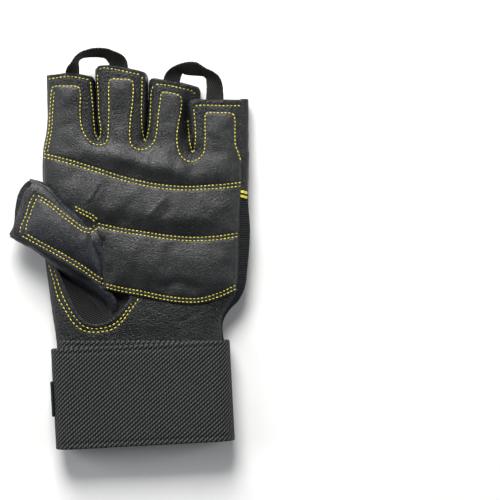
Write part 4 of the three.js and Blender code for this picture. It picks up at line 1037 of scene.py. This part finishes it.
# keyhole gusset, ribbed knit sunk below the palm leather
gusset = {"step": 1.0 * mm, "thickness": 0.9 * mm, "sink": 2.1 * mm, "deep": 2.6 * mm, "rim": 9 * mm,
          "waves": [(0.2 * mm, 5 * mm, 6)], "cut": (0.052, 0.044),
          "folds": [([(90, 298), (99, 308), (103, 321)], 0.9, 1.2),
                    ([(96, 296), (104, 306), (108, 320)], 0.9, 1.2)]}
gussetOutline = traced([(50, 259), (52.5, 272), (58, 287), (64.5, 301), (72, 314), (81, 325), (93, 329.5),
                        (105, 328), (116.5, 322.5), (128, 310), (134, 300), (132.5, 291), (122, 287),
                        (108, 281),
                        (96, 270), (80, 262), (62, 256), (50, 259)])[:-1]
flat, faces = cutSheet([gussetOutline], gusset["step"])
inward = step01(0, gusset["rim"], awayFrom(flat, closedLoop(gussetOutline)))
z = leatherTop(flat, False) - gusset["sink"] - gusset["deep"] * inward + uneven(flat, gusset["waves"])
z = bent(z, flat, gusset["folds"], 0.5 * mm)
keyholeKnit = addThick("keyhole_knit", np.column_stack([flat, z]), faces, gusset["thickness"],
                       ribbedKnit, ["thumb_gusset"])

# side strips, from under the palm leather round to the back
strip = {"step": 0.9 * mm, "rows": 12, "thickness": 1.1 * mm, "under": 0.5 * mm, "sink": 0.4 * mm,
         "turnEnd": 0.62, "turnIn": 0.7 * mm, "crease": 0.06 * mm, "tackY": 194.5, "wristY": 352,
         "meshCut": (0.0127, 0.0955)}


def besideY(line, ys):
    order = np.argsort(line[:, 1])
    return np.interp(ys, line[order, 1], line[order, 0])


def sideStrip(name, seamLine, outerLine, yFrom, yTo, material, nodes, inward):
    ys = np.linspace(photoY(yFrom), photoY(yTo), int(abs(photoY(yTo) - photoY(yFrom)) / strip["step"]))
    seamX, outerX = besideY(seamLine, ys), besideY(outerLine, ys)
    out = np.sign(outerX - seamX)
    under = seamX - out * strip["under"]
    top = leatherTop(np.stack([under, ys], 1), False) - strip["sink"]
    backZ = levelAt(ys, hand["backShare"])
    rows = []
    for t in np.linspace(0, 1, strip["rows"]):
        turn = math.pi / 2 * min(1, t / strip["turnEnd"])
        past = max(0, (t - strip["turnEnd"]) / (1 - strip["turnEnd"]))
        x = under + (outerX - under) * math.sin(turn) - out * strip["turnIn"] * past**2
        z = top + (backZ - top) * (1 - math.cos(math.pi / 2 * t)) ** 0.85
        rows.append(np.column_stack([slidBack(np.stack([x, ys], 1)), z]))
    rows = rows if inward else rows[::-1]
    return loftPiece(name, rows, strip["rows"], strip["thickness"], material, nodes,
                     strip["crease"])


rightSeam = traced(drawnApart([(242, 99), (242, 150)]) + [(241.8, 165), (241.6, 185)] + rightLine, 1 * mm)
sideStrip("index_side", traced(leftLine, 1 * mm), leftSide, strip["wristY"], 75.2, hemLeather,
          ["index_side_strip"], True)
sideStrip("little_side", rightSeam, rightSide, strip["tackY"], 99.2, hemLeather,
          ["little_side_leather"], False)
sideMesh = sideStrip("side_mesh", rightSeam, rightSide, strip["wristY"], strip["tackY"], meshCloth,
                     ["side_knit"], False)

# strips between the stalls, down one side of a slit and up the other
between = {"step": 1.0 * mm, "rows": 8, "thickness": 0.9 * mm, "sink": 0.8 * mm, "backShare": 0.24,
           "overRing": 0.8 * mm, "least": 2 * mm}


def stallBetween(name, line, node, lean):
    line = even(line, between["step"])
    top = leatherTop(line, False) - between["sink"]
    y = slidBack(line)[:, 1]
    onRing = overlap["lift"] * step01(0, overlap["pressTo"], y - crotchY) + between["overRing"]
    onTable = np.minimum(levelAt(y, between["backShare"]), top - between["least"])
    backZ = np.where(isLittle(line), onRing, onTable)
    rows = []
    for t in np.linspace(0, 1, between["rows"]):
        rows.append(np.column_stack([slidBack(leftOf(line, lean * t)), top + (backZ - top) * t]))
    return loftPiece(name, rows, between["rows"], between["thickness"], hemLeather, [node])


slitOne = traced([(92.2, 78), (92.9, 90), (93.8, 105), (95, 122), (96.6, 134.2), (98.1, 136.6),
                  (98.5, 133.5),
                  (97.2, 118), (96.2, 98), (95.5, 80), (95.4, 68.6)])
slitTwo = traced([(145, 74), (145.5, 100), (145, 122), (144, 136), (144.9, 139), (146.4, 134), (148, 118),
                  (149.6, 98), (150.2, 80.4)])
slitThree = traced([(199.8, 89.4), (199.4, 104), (196.6, 124), (193.5, 140), (192.3, 149.8)]
                   + drawnApart([(192.7, 145), (191.6, 130), (190.3, 115), (188.8, 102)]))
stallBetween("between_index_middle", slitOne, "fourchette_index_middle", 0.8 * mm)
stallBetween("between_middle_ring", slitTwo, "fourchette_middle_ring", 1.1 * mm)
stallBetween("between_ring_little", slitThree, "fourchette_ring_little", -0.3 * mm)
print("side strips set in")

# back of the hand, one piece of knit
handBack = {"step": 1.6 * mm, "thickness": 1.2 * mm, "round": 8 * mm, "floorGap": 0.1 * mm,
            "liftedFrom": 4 * mm, "liftedShare": 0.4, "cut": (0.126, 0.172)}
backOutline = np.vstack([
    traced([(57.5, 349), (56.4, 338), (52.8, 318), (48.8, 289), (45.6, 265), (43.9, 251), (42.8, 225),
            (42.3, 200), (42.4, 182),
            (42.3, 160), (43.4, 145), (46.6, 125), (46.8, 100), (46.2, 76)]),
    traced([(50, 74.2), (64, 72.8), (75, 73.1), (91.5, 76.2)]),
    traced([(93.8, 80), (95, 115), (97.4, 134)]), place([(98, 136)]),
    traced([(98.2, 132), (95.8, 110), (94.6, 80), (95, 68)]), traced([(100, 65), (118, 65.8), (144, 71.6)]),
    traced([(147.1, 76), (147, 110), (144.9, 135)]), place([(145, 138)]),
    traced([(145.7, 134), (147.8, 108), (148.4, 80)]), traced([(153, 77.8), (180, 81.8), (198, 86.6)]),
    traced([(200, 91), (197, 124), (192.4, 146)]), place([(192.3, 149)]),
    traced(drawnApart([(192.8, 145), (190.6, 120), (188.6, 102)])),
    traced(drawnApart([(192, 99.4), (222, 99.2), (246, 99.4)])),
    traced(drawnApart([(247.6, 104), (247.6, 150)]) + [(247.4, 185), (249, 227), (248.6, 244), (246.4, 269),
                                                       (243.8, 287), (237.6, 300),
           (228, 310.4), (222.4, 321.6), (221.8, 332), (222.6, 349)]),
])
flat, faces = cutSheet([backOutline], handBack["step"])
real = slidBack(flat)
low, high = undersideOf(flat), highAt(real[:, 1])
sides = [awayFrom(flat, line) for line in (leftSide, rightSide, firstSlit, secondSlit)]
edgeGap = np.minimum.reduce(sides + [thirdSlitGap(flat)])
rise = hand["backShare"] * (high - low) * (1 - roundOff(edgeGap, handBack["round"]))
rise = np.where(low > handBack["liftedFrom"], rise * handBack["liftedShare"], rise)
z = low + handBack["floorGap"] + rise
backPiece = addThick("back_of_hand", np.column_stack([real, z]), faces[:, ::-1], handBack["thickness"],
                     backKnit, ["back_panel"])
areaWithin(slidBack(backOutline))
print("back set in,", len(backPiece.data.polygons), "triangles")

# bar tack on the side seam; each bar is (y, x from, x to) on the photograph
tack = {"bars": [(192.2, 240.8, 247.9), (196.8, 240.4, 248.1)], "slope": 0.5 * mm, "apart": 0.36 * mm,
        "strand": 0.26 * mm, "strands": 4, "sides": 7, "over": 0.5 * mm, "bend": 0.92, "drop": 0.8}
points, faces, start = [], [], 0
turn = 2 * math.pi * np.arange(tack["sides"]) / tack["sides"]
for level, x0, x1 in tack["bars"]:
    for k in range(tack["strands"]):
        aside = (k - (tack["strands"] - 1) / 2) * tack["apart"]
        line = place([(x0, level), (x1, level)]) + [[0, aside + tack["slope"]], [0, aside - tack["slope"]]]
        line = even(line, 0.5 * mm)
        seam, outer = besideY(rightSeam, line[:, 1]), besideY(rightSide, line[:, 1])
        share = np.clip((line[:, 0] - seam) / (outer - seam), 0, 1)
        top = leatherTop(np.stack([np.minimum(line[:, 0], seam), line[:, 1]], 1), False)
        fall = (top - hand["backShare"] * hand["height"]) * (1 - np.sqrt(1 - tack["bend"] * share**2))
        centre = np.column_stack([line, top + tack["over"] - fall * tack["drop"]])
        around = tack["strand"] * np.stack([0 * turn, np.cos(turn), np.sin(turn)], 1)
        points.append((centre[:, None] + around[None]).reshape(-1, 3))
        faces.append(gridFaces(len(line), tack["sides"], True) + start)
        start += len(line) * tack["sides"]
addPiece("bar_tack", np.vstack(points), np.vstack(faces), threadFinish)

# pull loops: the tape's outer and inner edge on the photograph, and its height in mm
loopTape = {"width": 10 * mm, "thickness": 1.0 * mm, "standsFrom": 11.6 * mm, "standsOver": 3 * mm,
            "across": 9, "crease": 0.05 * mm}
indexLoop = [((65.5, 88), (79, 90), 10.6), ((66, 76), (78.5, 78), 11.4), ((66.3, 70.4), (78, 72.6), 12.4),
             ((68.4, 66.2), (77.4, 67), 14.2),
             ((71.6, 62.6), (76.9, 61.8), 15.4), ((75.4, 57), (79, 58.4), 16),
             ((80.5, 52.8), (83, 56.4), 16.4), ((88, 50), (90.5, 55.6), 16.6),
             ((97, 48.4), (99, 55.8), 16.6), ((107.8, 49.2), (105.5, 57.2), 16.2),
             ((116, 52.2), (108.8, 61), 15.4), ((122.8, 56), (109.9, 64.8), 12.6),
             ((125.9, 61), (110.4, 69), 10.4), ((126.8, 67.5), (110.6, 73), 9),
             ((127, 82), (110.8, 85), 8.4)]
ringLoop = [((163.5, 96), (178.6, 98), 10.2), ((163.9, 84), (178.6, 86), 10.8),
            ((164.3, 78.4), (179.2, 80.4), 11.8), ((166.6, 72.6), (181, 74), 13.4),
            ((171.5, 68), (182.6, 71), 14.6), ((178, 64.9), (185, 72.8), 15.3),
            ((187, 62.6), (190, 73.8), 15.7), ((197.5, 63.2), (198.5, 74.4), 15.7),
            ((205.5, 68.2), (204, 75), 15.5), ((213, 71.8), (207, 78), 15), ((219, 77), (207.6, 84), 13.8),
            ((221.6, 84), (207.3, 90), 12.4),
            ((222.4, 92), (206.8, 96.4), 10.8), ((222.8, 101), (206.4, 104), 9.6),
            ((223, 112), (206, 114), 9.2)]
for name, route, node in (("loop_index_middle", indexLoop, "pull_loop_index_middle"),
                          ("loop_ring_little", ringLoop, "pull_loop_ring_little")):
    outer, inner = place([stop[0] for stop in route]), place([stop[1] for stop in route])
    height = np.array([stop[2] for stop in route]) * mm
    apart = np.linalg.norm(outer - inner, axis=1)
    lean = np.sqrt(np.maximum(loopTape["width"] ** 2 - apart**2, 0)) / 2
    lean = lean * np.clip((height - loopTape["standsFrom"]) / loopTape["standsOver"], 0, 1)
    edges = curved(np.column_stack([outer, height + lean, inner, height - lean]), 0.55 * mm)
    guides = [edges[:, :3], (edges[:, :3] + edges[:, 3:]) / 2, edges[:, 3:]]
    loftPiece(name, guides, loopTape["across"], loopTape["thickness"], tape, [node],
              loopTape["crease"])
print("pull loops sewn in")

# wrist wrap, wound in two turns; the outer turn lies askew
wrap = {"width": 59 * mm, "thickness": 1.5 * mm, "centre": (7.6 * mm, -87.7 * mm, 11.45 * mm),
        "flat": 43.3 * mm, "innerClear": 1.54 * mm, "bend": 7.05 * mm, "pitch": 1.8 * mm, "straight": 0.18,
        "bendShare": 0.14, "tilt": 3.0, "turns": 2, "columns": 76, "swell": 0.35 * mm, "swellHalf": 60 * mm,
        "groove": 0.45 * mm, "grooveWidth": 0.7 * mm, "grooveIn": 2.4 * mm, "shift": 2.4 * mm,
        "waves": [(0.12 * mm, 18 * mm, 12)], "cut": (0.474, 0.059)}
hook = {"width": 20 * mm, "thickness": 1.2 * mm, "columns": 16, "start": 0.002, "bendEnd": 0.62,
        "over": 2.2 * mm, "cut": (0.02, 0.071)}


def wound(turn, offset):
    part = turn - np.floor(turn + 1e-9)
    bendFrom, bendTo = wrap["straight"], wrap["straight"] + wrap["bendShare"]
    stops = [0, bendFrom, bendTo, 1 - bendTo, 1 - bendFrom, 1]
    half = wrap["flat"] - np.where(turn < 1, wrap["innerClear"], 0)
    centre = half * np.interp(part, stops, [0, -1, -1, 1, 1, 0])
    angle = math.pi * np.interp(part, stops, [0, 0, 1, 1, 2, 2])
    normal = np.stack([-np.sin(angle), -np.cos(angle)], 1)
    radius = wrap["bend"] + offset
    return centre + normal[:, 0] * radius, normal[:, 1] * radius, normal


def bandSheet(fromTurn, toTurn, offsetAt, width, columns, shift=0.0):
    spots = np.linspace(fromTurn, toTurn, 4000)
    x, z, normal = wound(spots, offsetAt(spots))
    run = runOf(np.stack([x, z], 1))
    at = np.interp(np.linspace(0, run[-1], int(run[-1] / (1.0 * mm))), run, spots)
    x, z, normal = wound(at, offsetAt(at))
    outer = step01(1, 1 + wrap["straight"], at)
    tilt = np.radians(wrap["tilt"]) * outer
    across = np.linspace(-0.5, 0.5, columns) * width
    centreX, centreY, centreZ = wrap["centre"]
    bandX = centreX + (x * np.cos(tilt))[:, None] - across * np.sin(tilt)[:, None]
    bandY = centreY + (x * np.sin(tilt) + shift * (1 - outer))[:, None] + across * np.cos(tilt)[:, None]
    swell = wrap["swell"] * (1 - (np.abs(x) / wrap["swellHalf"]) ** 2) * (normal[:, 1] > 0)
    groove = wrap["groove"] * dip(np.abs(across)[None] - (width / 2 - wrap["grooveIn"]),
                                  wrap["grooveWidth"])
    bandZ = centreZ + (z + swell)[:, None] - normal[:, 1:] * groove
    weave = np.broadcast_arrays(runOf(np.stack([x, z], 1))[:, None], across[None], 0.0)
    points = np.stack([bandX, bandY, bandZ], -1).reshape(-1, 3)
    return points, gridFaces(len(at), columns)[:, ::-1], np.stack(weave, -1).reshape(-1, 3)


def bandOffset(turn):
    return wrap["pitch"] * turn + wrap["thickness"] / 2


def hookOffset(turn):
    return wrap["pitch"] * (turn - 1) + hook["over"]


points, faces, weave = bandSheet(0, wrap["turns"] - 1e-6, bandOffset, wrap["width"], wrap["columns"],
                                 wrap["shift"])
points[:, 2] += uneven(points[:, :2], wrap["waves"]) * (points[:, 2] > wrap["centre"][2])
wrapPiece = addThick("wrist_band", points, faces, wrap["thickness"], elastic, ["wrist_wrap"],
                     weave)
hookEnds = wrap["turns"] + wrap["straight"] + wrap["bendShare"] * hook["bendEnd"]
points, faces, weave = bandSheet(wrap["turns"] + hook["start"], hookEnds, hookOffset, hook["width"],
                                 hook["columns"])
hookEnd = addThick("hook_end", points, faces, hook["thickness"], meshCloth, ["hook_tab"], weave)
print("wrist wrapped")

# floor, light, camera
paper = {"half": 3, "roughness": 0.9, "gloss": 0.1, "scale": 60.0, "tones": [(0.0, 0.74), (1.0, 0.78)]}
floorMesh = bpy.data.meshes.new("floor")
corners = [(x * paper["half"], y * paper["half"], 0) for x, y in ((-1, -1), (1, -1), (1, 1), (-1, 1))]
floorMesh.from_pydata(corners, [], [(0, 1, 2, 3)])
floor = bpy.data.objects.new("floor", floorMesh)
bpy.context.scene.collection.objects.link(floor)
floorFinish, floorShader = specklesFinish("pale paper", paper["roughness"], paper["scale"], paper["tones"])
floorShader.inputs["Specular IOR Level"].default_value = paper["gloss"]
floorMesh.materials.append(floorFinish)

studio = {
    "key": {"at": (-0.2, 1.15, 0.9), "size": 0.8, "power": 46.0, "tint": (1.0, 0.99, 0.97)},
    "left": {"at": (-1.15, 0.2, 0.7), "size": 0.7, "power": 8.0, "tint": (0.95, 0.98, 1.0)},
    "right": {"at": (1.25, 0.1, 0.6), "size": 0.6, "power": 7.0, "tint": (0.97, 0.98, 1.0)},
    "sky": 0.1,
}
for name in ("key", "left", "right"):
    lamp = bpy.data.lights.new(name, "AREA")
    lamp.energy = studio[name]["power"]
    lamp.size = studio[name]["size"]
    lamp.color = studio[name]["tint"]
    holder = bpy.data.objects.new(name, lamp)
    bpy.context.scene.collection.objects.link(holder)
    holder.location = studio[name]["at"]
    x, y, z = studio[name]["at"]
    holder.rotation_euler = (math.atan2(math.hypot(x, y), z), 0, math.atan2(y, x) + math.pi / 2)
world = bpy.data.worlds.new("studio")
bpy.context.scene.world = world
world.use_nodes = True
world.node_tree.nodes["Background"].inputs[0].default_value = (0.95, 0.97, 1.0, 1)
world.node_tree.nodes["Background"].inputs[1].default_value = studio["sky"]
bpy.context.scene.view_settings.view_transform = "Standard"

camera = {"lens": 200, "sensor": 36, "plane": 0.015, "middle": (250, 250)}
cameraData = bpy.data.cameras.new("above")
cameraData.lens = camera["lens"]
cameraData.sensor_width = camera["sensor"]
cameraObject = bpy.data.objects.new("above", cameraData)
bpy.context.scene.collection.objects.link(cameraObject)
middle = place([camera["middle"]])[0]
away = px(photo["across"]) * camera["lens"] / camera["sensor"]
cameraObject.location = (middle[0], middle[1], camera["plane"] + away)
bpy.context.scene.camera = cameraObject
print("floor, light and camera set")
